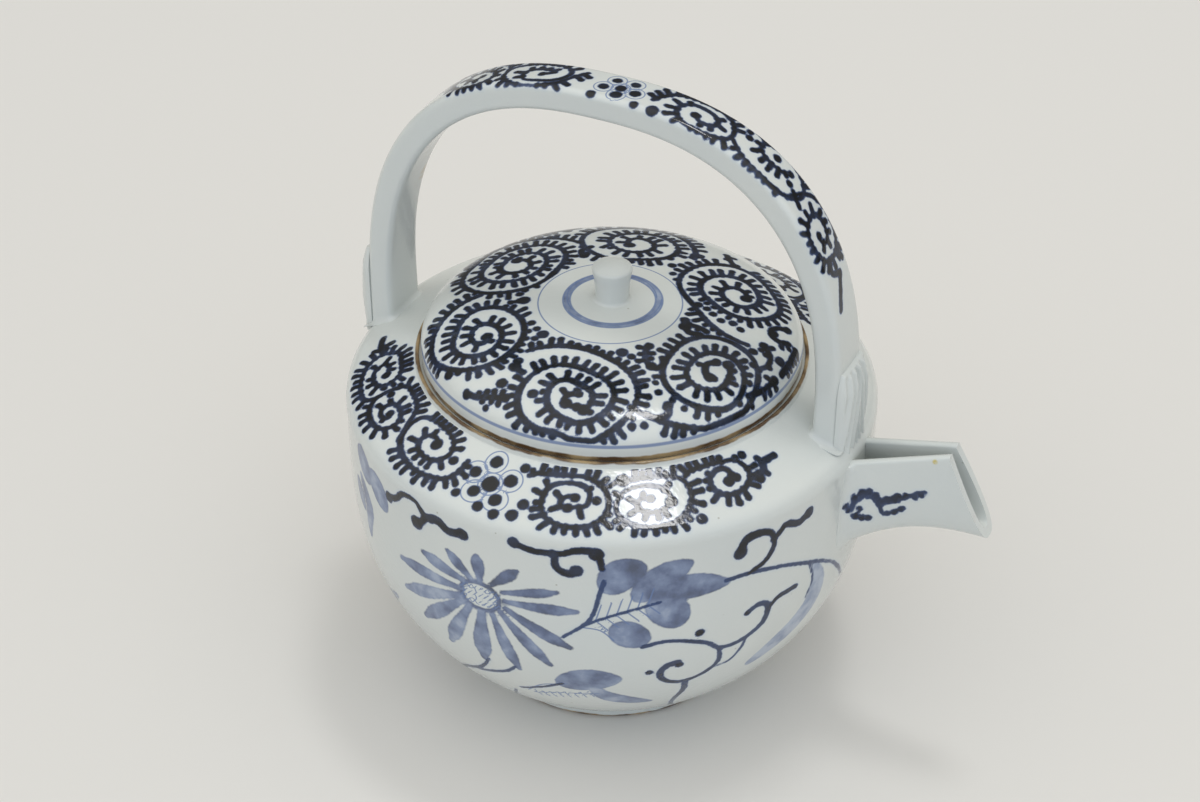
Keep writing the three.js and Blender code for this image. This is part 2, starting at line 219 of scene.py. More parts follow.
def porcelain(name, painted, bare_below=None, bare_above=None):
    material = bpy.data.materials.new(name)
    material.use_nodes = True
    tree = material.node_tree
    shader = tree.nodes["Principled BSDF"]
    place = node(tree, "ShaderNodeTexCoord").outputs["Object"]
    cloud = node(tree, "ShaderNodeTexNoise", inputs={"Vector": place, "Scale": 1000 / 45, "Detail": 4})
    colour = node(tree, "ShaderNodeMix", {"data_type": "RGBA"}, {
        "Factor": cloud.outputs["Fac"], "A": srgb("DADCD6"), "B": srgb("CDD3D2")}).outputs["Result"]
    pit = node(tree, "ShaderNodeTexVoronoi", {"feature": "F1"}, {"Vector": place, "Scale": 1000 / 9})
    speck = node(tree, "ShaderNodeMapRange", {"interpolation_type": "SMOOTHSTEP"}, {
        "Value": pit.outputs["Distance"], "From Min": 0.022, "From Max": 0.05, "To Min": 0.5, "To Max": 0})
    colour = node(tree, "ShaderNodeMix", {"data_type": "RGBA"}, {
        "Factor": speck.outputs["Result"], "A": colour, "B": srgb("8E8A7C")}).outputs["Result"]
    if painted:
        colour = cobalt(tree, place, colour)
        for centre, radius, tint, strength in KILN_STAINS:
            away = node(tree, "ShaderNodeVectorMath", {"operation": "DISTANCE"}, {
                0: place, 1: [value / 1000 for value in centre]})
            ragged = node(tree, "ShaderNodeTexNoise", inputs={"Vector": place, "Scale": 1000 / 2.4, "Detail": 4})
            stain = node(tree, "ShaderNodeMapRange", {"interpolation_type": "SMOOTHSTEP"}, {
                "Value": away.outputs["Value"], "From Min": radius * 0.0004, "From Max": radius / 1000,
                "To Min": strength, "To Max": 0})
            broken = node(tree, "ShaderNodeMapRange", inputs={
                "Value": ragged.outputs["Fac"], "From Min": 0.38, "From Max": 0.56})
            amount = node(tree, "ShaderNodeMath", {"operation": "MULTIPLY"}, {
                0: stain.outputs["Result"], 1: broken.outputs["Result"]})
            colour = node(tree, "ShaderNodeMix", {"data_type": "RGBA"}, {
                "Factor": amount.outputs["Value"], "A": colour, "B": srgb(tint)}).outputs["Result"]
    if bare_below or bare_above:
        height = node(tree, "ShaderNodeSeparateXYZ", inputs={"Vector": place}).outputs["Z"]
        uneven = node(tree, "ShaderNodeTexNoise", inputs={"Vector": place, "Scale": 1000 / 6, "Detail": 5})
        ragged = node(tree, "ShaderNodeMapRange", inputs={
            "Value": uneven.outputs["Fac"], "From Min": 0.3, "From Max": 0.7, "To Min": -0.0003, "To Max": 0.0003})
        level = node(tree, "ShaderNodeMath", {"operation": "ADD"}, {0: height, 1: ragged.outputs["Result"]})
        edge = (bare_below or bare_above) / 1000
        low_end, high_end = (1, 0) if bare_below else (0, 1)
        bare = node(tree, "ShaderNodeMapRange", {"interpolation_type": "SMOOTHSTEP"}, {
            "Value": level.outputs["Value"], "From Min": edge - 0.0003, "From Max": edge + 0.0003,
            "To Min": low_end, "To Max": high_end})
        soot = node(tree, "ShaderNodeTexNoise", inputs={"Vector": place, "Scale": 1000 / 11, "Detail": 6})
        scorch = node(tree, "ShaderNodeMapRange", {"interpolation_type": "SMOOTHSTEP"}, {
            "Value": soot.outputs["Fac"], "From Min": 0.36, "From Max": 0.62})
        clay = node(tree, "ShaderNodeMix", {"data_type": "RGBA"}, {
            "Factor": scorch.outputs["Result"], "A": srgb("A38D68"), "B": srgb("57412B")}).outputs["Result"]
        colour = node(tree, "ShaderNodeMix", {"data_type": "RGBA"}, {
            "Factor": bare.outputs["Result"], "A": colour, "B": clay}).outputs["Result"]
    peel = node(tree, "ShaderNodeTexNoise", inputs={"Vector": place, "Scale": 1000 / 1.5, "Detail": 3})
    bump = node(tree, "ShaderNodeBump", inputs={
        "Height": peel.outputs["Fac"], "Strength": 0.2, "Distance": 0.0003})
    tree.links.new(colour, shader.inputs["Base Color"])
    tree.links.new(bump.outputs["Normal"], shader.inputs["Normal"])
    shader.inputs["Roughness"].default_value = 0.09
    shader.inputs["IOR"].default_value = 1.5
    return material


# Lays the cobalt over a ground colour, from the distances that the brushwork leaves on the mesh.
def cobalt(tree, place, ground):
    marks = {}
    for mark in ("ink", "ink_load", "wash", "wash_load", "line", "line_near"):
        marks[mark] = node(tree, "ShaderNodeAttribute", {"attribute_name": mark}).outputs["Fac"]
    waver = node(tree, "ShaderNodeTexNoise", inputs={"Vector": place, "Scale": 1000 / 1.6, "Detail": 2})
    shift = node(tree, "ShaderNodeMapRange", inputs={
        "Value": waver.outputs["Fac"], "From Min": 0.3, "From Max": 0.7, "To Min": -0.14, "To Max": 0.14})
    pool = node(tree, "ShaderNodeTexNoise", inputs={"Vector": place, "Scale": 1000 / 7, "Detail": 4})

    haze = node(tree, "ShaderNodeMapRange", {"interpolation_type": "SMOOTHSTEP"}, {
        "Value": marks["ink"], "From Min": -0.2, "From Max": 1.5, "To Min": 0.32, "To Max": 0})
    colour = node(tree, "ShaderNodeMix", {"data_type": "RGBA"}, {
        "Factor": haze.outputs["Result"], "A": ground, "B": srgb("AFC0D2")}).outputs["Result"]

    wash_at = node(tree, "ShaderNodeMath", {"operation": "ADD"}, {0: marks["wash"], 1: shift.outputs["Result"]})
    wash_in = node(tree, "ShaderNodeMapRange", {"interpolation_type": "SMOOTHSTEP"}, {
        "Value": wash_at.outputs["Value"], "From Min": -0.45, "From Max": 0.3, "To Min": 0.92, "To Max": 0})
    pooled = node(tree, "ShaderNodeMapRange", inputs={
        "Value": pool.outputs["Fac"], "From Min": 0.32, "From Max": 0.7, "To Min": -0.3, "To Max": 0.3})
    edge = node(tree, "ShaderNodeMapRange", {"interpolation_type": "SMOOTHSTEP"}, {
        "Value": marks["wash"], "From Min": -0.9, "From Max": -0.1, "To Min": 0, "To Max": 0.1})
    depth = node(tree, "ShaderNodeMath", {"operation": "ADD"}, {
        0: marks["wash_load"], 1: pooled.outputs["Result"]})
    depth = node(tree, "ShaderNodeMath", {"operation": "ADD", "use_clamp": True}, {
        0: depth.outputs["Value"], 1: edge.outputs["Result"]})
    tint = node(tree, "ShaderNodeValToRGB", inputs={"Fac": depth.outputs["Value"]})
    ramp = tint.color_ramp
    ramp.elements[0].color = srgb("ABB6C8")
    ramp.elements[1].color = srgb("26324F")
    ramp.elements.new(0.35).color = srgb("7888A8")
    ramp.elements.new(0.65).color = srgb("4F5F84")
    colour = node(tree, "ShaderNodeMix", {"data_type": "RGBA"}, {
        "Factor": wash_in.outputs["Result"], "A": colour, "B": tint.outputs["Color"]}).outputs["Result"]

    across = node(tree, "ShaderNodeMath", {"operation": "ABSOLUTE"}, {0: marks["line"]})
    fine = node(tree, "ShaderNodeMapRange", {"interpolation_type": "SMOOTHSTEP"}, {
        "Value": across.outputs["Value"], "From Min": 0.4, "From Max": 1.4, "To Min": 0.85, "To Max": 0})
    close = node(tree, "ShaderNodeMapRange", inputs={
        "Value": marks["line_near"], "From Min": 0.6, "From Max": 0.8, "To Min": 1, "To Max": 0})
    drawn = node(tree, "ShaderNodeMath", {"operation": "MULTIPLY"}, {
        0: fine.outputs["Result"], 1: close.outputs["Result"]})
    colour = node(tree, "ShaderNodeMix", {"data_type": "RGBA"}, {
        "Factor": drawn.outputs["Value"], "A": colour, "B": srgb("667CA6")}).outputs["Result"]

    ink_at = node(tree, "ShaderNodeMath", {"operation": "ADD"}, {0: marks["ink"], 1: shift.outputs["Result"]})
    fringe = node(tree, "ShaderNodeMapRange", {"interpolation_type": "SMOOTHSTEP"}, {
        "Value": ink_at.outputs["Value"], "From Min": -0.02, "From Max": 0.42, "To Min": 0.96, "To Max": 0})
    colour = node(tree, "ShaderNodeMix", {"data_type": "RGBA"}, {
        "Factor": fringe.outputs["Result"], "A": colour, "B": srgb("2C4472")}).outputs["Result"]
    core = node(tree, "ShaderNodeMapRange", {"interpolation_type": "SMOOTHSTEP"}, {
        "Value": ink_at.outputs["Value"], "From Min": -0.34, "From Max": 0.2, "To Min": 1, "To Max": 0})
    thin = node(tree, "ShaderNodeMapRange", inputs={
        "Value": pool.outputs["Fac"], "From Min": 0.35, "From Max": 0.65, "To Min": -0.1, "To Max": 0.24})
    loaded = node(tree, "ShaderNodeMath", {"operation": "ADD", "use_clamp": True}, {
        0: marks["ink_load"], 1: thin.outputs["Result"]})
    dark = node(tree, "ShaderNodeMath", {"operation": "MULTIPLY"}, {
        0: core.outputs["Result"], 1: loaded.outputs["Value"]})
    return node(tree, "ShaderNodeMix", {"data_type": "RGBA"}, {
        "Factor": dark.outputs["Value"], "A": colour, "B": srgb("080C13")}).outputs["Result"]


foot_glaze = porcelain("clear_glaze_down_to_the_bare_foot", False, FOOT_ROUND)
foot_ring = fired("foot_ring_with_bare_underside", foot_points, skin(foot_numbers), foot_glaze)
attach(foot_ring, "pot")
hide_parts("foot_ring")

painted_glaze = porcelain("cobalt_painting_under_clear_glaze", True)
plain_glaze = porcelain("clear_glaze_over_white_porcelain", False)

low_z = np.linspace(FOOT_HEIGHT, 62, 200)
low_wall = evenly(np.stack([bowl_radius(low_z), low_z], -1), 1.05)
hole_z = np.linspace(HOLE_LOW_Z, HOLE_HIGH_Z, 23)
high_z = np.concatenate([
    np.linspace(62, HOLE_LOW_Z, 22)[1:-1], hole_z, np.linspace(HOLE_HIGH_Z, SPLIT_Z, 8)[1:-1],
    [SPLIT_Z - HIDDEN_STEP, SPLIT_Z]])
high_wall = np.stack([bowl_radius(high_z), high_z], -1)
inner_z = np.concatenate([
    [SPLIT_Z], hole_z[::-1], np.linspace(HOLE_LOW_Z, FLOOR_Z + 6, 13)[1:]])
inner_wall = np.stack([bowl_radius(inner_z) - WALL, inner_z], -1)
floor_round = arc(inner_wall[-1][0] - 7, FLOOR_Z + 6, 6, -15, -90, 5)
bowl_outline = np.vstack([
    [(0, FOOT_HEIGHT), (20, FOOT_HEIGHT), (foot_inner_r, FOOT_HEIGHT)], low_wall, high_wall,
    inner_wall, floor_round, [(25, FLOOR_Z), (0, FLOOR_Z)]])
bowl_points, bowl_numbers = spun(bowl_outline, BOWL_COLUMNS)

# The hole leaves a gap in the grid on both faces of the wall, and its corners are rounded by the knife.
outer_first = 3 + len(low_wall) + int(np.argmin(abs(high_z - HOLE_LOW_Z)))
inner_last = 3 + len(low_wall) + len(high_wall) + len(hole_z)
span = len(hole_z) - 1
azimuth = np.degrees(np.arctan2(bowl_points[:, 1], bowl_points[:, 0]))
half_turn = HOLE_COLUMNS * 360 / BOWL_COLUMNS
half_height = (HOLE_HIGH_Z - HOLE_LOW_Z) / 2
across = azimuth / half_turn
upward = (bowl_points[:, 2] - HOLE_LOW_Z - half_height) / half_height
square = np.maximum(abs(across), abs(upward))
oval = (abs(across) ** HOLE_ROUNDING + abs(upward) ** HOLE_ROUNDING) ** (1 / HOLE_ROUNDING)
beside = (square < 2) & (square > 0)
pull = 1 + (square[beside] / oval[beside] - 1) * np.clip(2 - square[beside], 0, 1)
reach_out = np.hypot(bowl_points[beside, 0], bowl_points[beside, 1])
turned_to = np.radians(across[beside] * pull * half_turn)
bowl_points[beside] = np.stack([
    reach_out * np.cos(turned_to), reach_out * np.sin(turned_to),
    HOLE_LOW_Z + half_height + upward[beside] * pull * half_height], -1)
columns = [k % BOWL_COLUMNS for k in range(-HOLE_COLUMNS, HOLE_COLUMNS + 1)]
rim = [(columns[k], 0) for k in range(len(columns) - 1)]
rim += [(columns[-1], k) for k in range(span)]
rim += [(columns[-1 - k], span) for k in range(len(columns) - 1)]
rim += [(columns[0], span - k) for k in range(span)]
hole_rims = np.array([
    (bowl_numbers[column, outer_first + row], bowl_numbers[column, inner_last - row])
    for column, row in rim])
inside_hole = set()
for first in (outer_first, inner_last - span):
    inside_hole |= set(bowl_numbers[np.ix_(columns[1:-1], range(first + 1, first + span))].ravel().tolist())
bowl_faces = [face for face in skin(bowl_numbers, loop_second=False) if not inside_hole.intersection(face)]
kept = np.setdiff1d(np.arange(len(bowl_points)), sorted(inside_hole))
renumber = np.full(len(bowl_points), -1)
renumber[kept] = np.arange(len(kept))
bowl_faces = [tuple(renumber[list(face)].tolist()) for face in bowl_faces + skin(hole_rims, loop_second=False)]
bowl = fired("glazed_bowl", bowl_points[kept], bowl_faces, painted_glaze)
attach(bowl, "pot")
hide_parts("bowl")

# Shoulder
# The top of the pot, thrown with the wall: a small rounded corner and a shallow cone to the neck.
# It carries the band of octopus scrolls under the same clear glaze.
CORNER_R = 6
SHOULDER_WALL = 4.5
NECK_BASE_R = 62.8
NECK_BASE_Z = 116.8
NECK_INNER_R = 57.2
SHOULDER_CELL = 0.5
corner_centre_r = BELLY_R - CORNER_R
cone_lean = math.atan2(NECK_BASE_Z - SPLIT_Z, NECK_BASE_R - corner_centre_r)
cone_reach = math.hypot(NECK_BASE_Z - SPLIT_Z, NECK_BASE_R - corner_centre_r)
corner_end = math.degrees(cone_lean - math.acos(CORNER_R / cone_reach))
corner = arc(corner_centre_r, SPLIT_Z, CORNER_R, 0, corner_end, 14)
cone_length = math.hypot(corner[-1][0] - NECK_BASE_R, corner[-1][1] - NECK_BASE_Z)
cone = evenly([corner[-1], (NECK_BASE_R, NECK_BASE_Z)], SHOULDER_CELL)
shoulder_outer = np.vstack([corner[:1], arc(corner_centre_r, SPLIT_Z, CORNER_R, 0.8, 0.8, 0), corner[1:], cone[1:]])
inner_corner = arc(corner_centre_r, SPLIT_Z, CORNER_R - SHOULDER_WALL, corner_end, 0, 5)
shoulder_outline = np.vstack([
    shoulder_outer, [(NECK_INNER_R, NECK_BASE_Z), (NECK_INNER_R, NECK_BASE_Z - SHOULDER_WALL)], inner_corner])
shoulder_points, shoulder_numbers = spun(shoulder_outline, 840)
shoulder = fired("glazed_shoulder", shoulder_points, skin(shoulder_numbers), painted_glaze)
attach(shoulder, "pot")
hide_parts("shoulder")

# Neck ring
# A low ring round the mouth with a stepped ledge that the lid sits in, wiped clean before the firing.
# The bare rim has toasted to a thin brown line with darker stains.
NECK_RIM_R = 62.4
NECK_TOP_Z = 118.8
NECK_LEDGE_R = 61.2
NECK_ROUND = 0.5
LID_SEAT_Z = 117.9
neck_outline = [
    (NECK_BASE_R, NECK_BASE_Z), (NECK_RIM_R + 0.05, NECK_BASE_Z + 0.3),
    *arc(NECK_RIM_R - NECK_ROUND, NECK_TOP_Z - NECK_ROUND, NECK_ROUND, 0, 90, 5),
    (NECK_LEDGE_R + 0.25, NECK_TOP_Z), (NECK_LEDGE_R, NECK_TOP_Z - 0.25), (NECK_LEDGE_R, LID_SEAT_Z),
    (NECK_INNER_R + 0.3, LID_SEAT_Z), (NECK_INNER_R, LID_SEAT_Z - 0.3), (NECK_INNER_R, NECK_BASE_Z)]
neck_points, neck_numbers = spun(neck_outline, 360)
toasted_rim = porcelain("clear_glaze_up_to_a_toasted_bare_rim", False, None, NECK_TOP_Z - 0.45)
neck_ring = fired("toasted_neck_ring", neck_points, skin(neck_numbers), toasted_rim)
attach(neck_ring, "pot")
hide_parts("neck_ring")

# Spout
# An open trough, thrown and cut, luted over the hole in the wall; its mouth is cut on a slant.
# The lower lip stands forward, and the rims are wiped round and thin.
SPOUT_WALL = 2.8
SPOUT_REACH = 43.4
SPOUT_TOP_REACH = 29.6
SPOUT_ROOT_TOP_Z = 104.4
SPOUT_TIP_TOP_Z = 114.4
SPOUT_LIP_LOW_Z = 87.4
SPOUT_SAG = 15
SPOUT_SAG_POWER = 2.4
SPOUT_ROOT_LIP = 7.8
SPOUT_TIP_LIP = 4.6
SPOUT_ROOT_BELLY = 14.5
SPOUT_TIP_BELLY = 7
SPOUT_FLARE_POWER = 4
SPOUT_WALL_POWER = 1.6
SPOUT_CELL = 0.5
LUTE_ROUND = 2.2


def smoothstep(value, low, high):
    t = np.clip((np.asarray(value, float) - low) / (high - low), 0, 1)
    return t * t * (3 - 2 * t)


# Height of the pot's outside above a distance from its axis, on the shoulder.
def shoulder_height(radius):
    order = np.argsort(shoulder_outer[:, 0])
    return np.interp(radius, shoulder_outer[order, 0], shoulder_outer[order, 1])


# Point of the trough: distance from the belly, share of the way round the U, and inset from the outside.
def spout_point(distance, share, inset):
    t = np.clip(distance / SPOUT_REACH, 0, 1)
    along = distance / SPOUT_TOP_REACH
    top = SPOUT_ROOT_TOP_Z + (SPOUT_TIP_TOP_Z - SPOUT_ROOT_TOP_Z) * along
    bottom = SPOUT_LIP_LOW_Z - SPOUT_SAG * (1 - t) ** SPOUT_SAG_POWER
    lip = SPOUT_ROOT_LIP + (SPOUT_TIP_LIP - SPOUT_ROOT_LIP) * np.minimum(along, 1)
    belly = SPOUT_TIP_BELLY + (SPOUT_ROOT_BELLY - SPOUT_TIP_BELLY) * (1 - t) ** SPOUT_FLARE_POWER
    angle = math.pi * (1 + share)
    rise = 1 + np.sin(angle)
    half = lip + (belly - lip) * (1 - rise ** 2) - inset
    return np.stack([
        BELLY_R + distance + 0 * rise, np.cos(angle) * half,
        bottom + inset + (top - bottom - inset) * rise ** SPOUT_WALL_POWER], -1)


# Outside, rounded rim, inside and rounded rim again, as shares of the way round and insets.
outer_share = np.linspace(0, 1, 90)
rim_turn = np.linspace(0, math.pi, 8)[1:-1]
rim_inset = (1 - np.cos(rim_turn)) / 2 * SPOUT_WALL
rim_lift = np.sin(rim_turn) * SPOUT_WALL / 2
share = np.concatenate([outer_share, np.ones(6), np.linspace(1, 0, 44), np.zeros(6)])
inset = np.concatenate([np.zeros(90), rim_inset, np.full(44, SPOUT_WALL), rim_inset[::-1]])
lift = np.concatenate([np.zeros(90), rim_lift, np.zeros(44), rim_lift[::-1]])
mouth_lean = (SPOUT_REACH - SPOUT_TOP_REACH) / (SPOUT_TIP_TOP_Z - SPOUT_LIP_LOW_Z)


def cut_distance(low, high, beyond):
    low, high = np.full(len(share), float(low)), np.full(len(share), float(high))
    for _ in range(30):
        middle = (low + high) / 2
        outside = beyond(spout_point(middle, share, inset))
        high = np.where(outside, middle, high)
        low = np.where(outside, low, middle)
    return low


mouth = cut_distance(0, 60, lambda p: p[:, 0] - BELLY_R > SPOUT_TOP_REACH + (SPOUT_TIP_TOP_Z - p[:, 2]) * mouth_lean)
root = cut_distance(-14, 8, lambda p: np.hypot(p[:, 0], p[:, 1]) > bowl_radius(p[:, 2]) - 0.9)
spout_steps = 88
spout_grid = np.array([
    spout_point(root + (mouth - root) * step, share, inset)
    for step in np.linspace(0, 1, spout_steps)])
spout_grid[:, :, 2] += lift * 0.8
stands_off = np.hypot(spout_grid[..., 0], spout_grid[..., 1]) - bowl_radius(spout_grid[..., 2])
near_wall = np.clip(LUTE_ROUND - np.maximum(stands_off, 0), 0, LUTE_ROUND)
spread = LUTE_ROUND - np.sqrt(LUTE_ROUND ** 2 - near_wall ** 2)
outside_share = (inset == 0)[None, :]
spout_grid[..., 1] += np.sign(spout_grid[..., 1]) * spread * outside_share * smoothstep(abs(spout_grid[..., 1]), 1, 8)
spout_grid[..., 2] -= spread * outside_share * smoothstep(100 - spout_grid[..., 2], 0, 14)
spout_numbers = np.arange(spout_steps * len(share)).reshape(spout_steps, len(share))


def end_caps(numbers):
    return [tuple(numbers[0].tolist()), tuple(numbers[-1, ::-1].tolist())]


half_ring = np.concatenate([np.arange(90), [90, 91, 92]])
spout_faces = [face[::-1] for face in skin(spout_numbers, loop_first=False)]


# The cut ends of the trough join its outside to its inside across the thickness.
def trough_end(ring, backwards):
    outside = ring[:90]
    inside = ring[96:140][::-1]
    matched = inside[np.round(np.linspace(0, 43, 90)).astype(int)]
    faces = skin(np.stack([outside, matched], 1), loop_first=False, loop_second=False)
    faces.append(tuple(ring[89:97].tolist()))
    faces.append(tuple(ring[139:].tolist() + [ring[0]]))
    return [face[::-1] if backwards else face for face in faces]


spout_faces += trough_end(spout_numbers[0], False) + trough_end(spout_numbers[-1], True)
spout = fired("glazed_spout", spout_grid.reshape(-1, 3), spout_faces, painted_glaze)
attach(spout, "pot")
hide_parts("spout")

# Handle
# A strap of porcelain, pulled flat, bent into an arch and luted to the shoulder at both ends.
# Its crown is painted with small octopus scrolls, and its sides are left white.
HANDLE_HALF_SPAN = 82.4
HANDLE_OFFSET_X = -2
HANDLE_SPRING_Z = 120
HANDLE_TOP_Z = 211.2
HANDLE_POWER = 2.48
HANDLE_THICKNESS = 8.9
HANDLE_TOP_WIDTH = 16.4
HANDLE_FOOT_WIDTH = 19
HANDLE_EDGE = 1.9
HANDLE_CROWN = 0.35
HANDLE_CELL = 0.5
HANDLE_LOW_Z = 106


# The arch at an inset from its outside, as (x, z) points for a fine run of angles.
def arch(inset):
    angle = math.pi * (1 - np.linspace(0, 1, 4001))
    cosine = np.cos(angle)
    half, height = HANDLE_HALF_SPAN - inset, HANDLE_TOP_Z - HANDLE_SPRING_Z - inset
    x = np.sign(cosine) * half * abs(cosine) ** (2 / HANDLE_POWER) + HANDLE_OFFSET_X
    z = HANDLE_SPRING_Z + height * abs(np.sin(angle)) ** (2 / HANDLE_POWER)
    ends = [(x[0], HANDLE_LOW_Z)], [(x[-1], HANDLE_LOW_Z)]
    return np.vstack([ends[0], np.stack([x, z], -1), ends[1]])


arch_outer, arch_inner = arch(0), arch(HANDLE_THICKNESS)
arch_run = np.concatenate([[0], np.cumsum(np.linalg.norm(np.diff(arch_outer, axis=0), axis=1))])
ARCH_LENGTH = arch_run[-1]


# Cross section as (share of the width, share of the thickness), walked once round from the near edge.
def strap_ring():
    half = HANDLE_TOP_WIDTH / 2
    flat = half - HANDLE_EDGE
    ring = [(y, 0) for y in np.linspace(-flat, flat, 28)]
    for turn in np.linspace(90, 0, 6)[1:]:
        ring.append((flat + HANDLE_EDGE * math.cos(math.radians(turn)), HANDLE_EDGE * (1 - math.sin(math.radians(turn)))))
    deep = HANDLE_THICKNESS - HANDLE_EDGE
    ring += [(half, depth) for depth in np.linspace(HANDLE_EDGE, deep, 5)[1:]]
    for turn in np.linspace(0, -90, 6)[1:]:
        ring.append((flat + HANDLE_EDGE * math.cos(math.radians(turn)), deep - HANDLE_EDGE * math.sin(math.radians(turn))))
    ring += [(y, HANDLE_THICKNESS) for y in np.linspace(flat, -flat, 10)[1:]]
    right = ring[28:28 + 14]
    ring += [(-y, depth) for y, depth in right[::-1]][1:]
    return np.array(ring)


section = strap_ring()
section[:, 1] += HANDLE_CROWN * (section[:, 0] / (HANDLE_TOP_WIDTH / 2)) ** 2 * (1 - 2 * section[:, 1] / HANDLE_THICKNESS)
stations = np.linspace(0, ARCH_LENGTH, round(ARCH_LENGTH / HANDLE_CELL) + 1)


# Points of the strap from a run along the outside, sideways offsets and depths below the outside.
def strap_point(run, sideways, depth):
    outer = np.stack([np.interp(run, arch_run, arch_outer[:, k]) for k in (0, 1)], -1)
    inner = np.stack([np.interp(run, arch_run, arch_inner[:, k]) for k in (0, 1)], -1)
    share = np.asarray(depth, float)[..., None] / HANDLE_THICKNESS
    place = outer + (inner - outer) * share
    fall = (HANDLE_TOP_Z - outer[..., 1]) / (HANDLE_TOP_Z - SPLIT_Z)
    widen = 1 + (HANDLE_FOOT_WIDTH - HANDLE_TOP_WIDTH) / HANDLE_TOP_WIDTH * fall
    return np.stack([place[..., 0], sideways * widen, place[..., 1]], -1)


run_grid, side_grid = np.meshgrid(stations, section[:, 0], indexing="ij")
strap = strap_point(run_grid, side_grid, np.broadcast_to(section[:, 1], run_grid.shape))
foot_z = shoulder_height(np.hypot(strap[..., 0], strap[..., 1])) - 0.5
legs = strap[..., 2] < HANDLE_SPRING_Z
settled = foot_z + (strap[..., 2] - HANDLE_LOW_Z) * (HANDLE_SPRING_Z - foot_z) / (HANDLE_SPRING_Z - HANDLE_LOW_Z)
strap[..., 2] = np.where(legs, settled, strap[..., 2])
above = np.maximum(strap[..., 2] - foot_z - 0.5, 0)
near_pot = np.where(legs, np.clip(LUTE_ROUND - above, 0, LUTE_ROUND), 0)
spread = LUTE_ROUND - np.sqrt(LUTE_ROUND ** 2 - near_pot ** 2)
middle_x = np.sign(strap[..., 0]) * (HANDLE_HALF_SPAN - HANDLE_THICKNESS / 2) + HANDLE_OFFSET_X
strap[..., 0] += spread * np.clip((strap[..., 0] - middle_x) / 3, -1, 1)
strap[..., 1] += spread * np.clip(strap[..., 1] / 6, -1, 1)
strap_numbers = np.arange(run_grid.size).reshape(run_grid.shape)
strap_faces = skin(strap_numbers, loop_first=False) + [face[::-1] for face in end_caps(strap_numbers)]
handle = fired("glazed_handle", strap.reshape(-1, 3), strap_faces, painted_glaze)
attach(handle, "pot")
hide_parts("handle")

# Leaf pads
# A thin press moulded leaf is laid over each end of the handle to strengthen the joint.
# Its veins are shallow and softened by the glaze.
LEAF_HALF = 9.4
LEAF_TOP_Z = 136.2
LEAF_LOW_Z = 104.6
LEAF_THICKNESS = 3.4
LEAF_EDGE = 2.4
LEAF_VEIN_MM = 3.3
LEAF_VEIN_DEPTH = 0.62


def leaf_pad(name, side):
    across, up = np.linspace(-1, 1, 61), np.linspace(0, 1, 91)
    share, rise = np.meshgrid(across, up, indexing="ij")
    narrow = 1 - 0.2 * np.clip((rise - 0.7) / 0.3, 0, 1) ** 2
    y = share * LEAF_HALF * narrow
    z = LEAF_LOW_Z + (LEAF_TOP_Z - LEAF_LOW_Z) * rise
    edge = np.minimum(LEAF_HALF * narrow - abs(y), LEAF_TOP_Z - z)
    swell = np.sqrt(np.clip(1 - (1 - np.clip(edge / LEAF_EDGE, 0, 1)) ** 2, 0, 1))
    slant = y + (z - LEAF_LOW_Z) * 0.16 * np.sign(y)
    veins = np.cos(slant / LEAF_VEIN_MM * 2 * math.pi) * LEAF_VEIN_DEPTH * smoothstep(edge, 0.2, 1.6)
    crown = LEAF_THICKNESS - 0.62 - 0.5 * (y / LEAF_HALF) ** 2
    lean_in = 1.4 * smoothstep(rise, 0.75, 1)
    out = (crown - lean_in + veins) * swell
    face_x = HANDLE_HALF_SPAN + 0.05
    pot_x = np.sqrt(np.maximum((BELLY_R + 0.1) ** 2 - y ** 2, 0)) - 2.2
    front_x = face_x + np.maximum(out, 0)
    front = np.stack([side * front_x + HANDLE_OFFSET_X, side * y, z], -1)
    back = np.stack([side * np.full_like(y, face_x - 0.9) + HANDLE_OFFSET_X, side * y, z], -1)
    size = share.size
    numbers = np.arange(size).reshape(share.shape)
    edge_ring = np.concatenate([numbers[:, 0], numbers[-1, 1:], numbers[-2::-1, -1], numbers[0, -2:0:-1]])
    faces = skin(numbers, False, False) + [f[::-1] for f in skin(numbers + size, False, False)]
    faces += skin(np.stack([edge_ring + size, edge_ring], 1), True, False)
    return fired(name, np.vstack([front.reshape(-1, 3), back.reshape(-1, 3)]), faces, plain_glaze)


for leaf_side, leaf_name in ((1, "front_leaf"), (-1, "rear_leaf")):
    leaf = leaf_pad("glazed_" + leaf_name, leaf_side)
    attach(leaf, "pot")
    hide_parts(leaf_name)

# Octopus scrolls on the shoulder
# The decorator's brush draws each scroll in cobalt on the once fired pot, as one long stem.
# Short round arms are then dabbed along its outer side, wherever the ground is still free.
BRUSH_REACH = 2.2
SHOULDER_DEGREE = 1.31
SHOULDER_START = 1.62
STEM = 0.8
ARM_PITCH = 2.75
ARM_REACH = 3.6
CHANNEL = 1.15
ARM_TIP = 1.02
brushes = np.random.default_rng(11)


# A smooth curve through listed points, sampled about every half millimetre.
def flowing(knots):
    knots = np.asarray(knots, float)
    knots = knots[:, None] if knots.ndim == 1 else knots
    padded = np.vstack([2 * knots[:1] - knots[1:2], knots, 2 * knots[-1:] - knots[-2:-1]])
    t = np.linspace(0, 1, 10, endpoint=False)[:, None]
    before, start, end, after = padded[:-3], padded[1:-2], padded[2:-1], padded[3:]
    spans = [
        (2 * t ** 3 - 3 * t ** 2 + 1) * b + (t ** 3 - 2 * t ** 2 + t) * (c - a) / 2
        + (3 * t ** 2 - 2 * t ** 3) * c + (t ** 3 - t ** 2) * (d - b) / 2
        for a, b, c, d in zip(before, start, end, after)]
    return np.vstack(spans + [knots[-1:]])


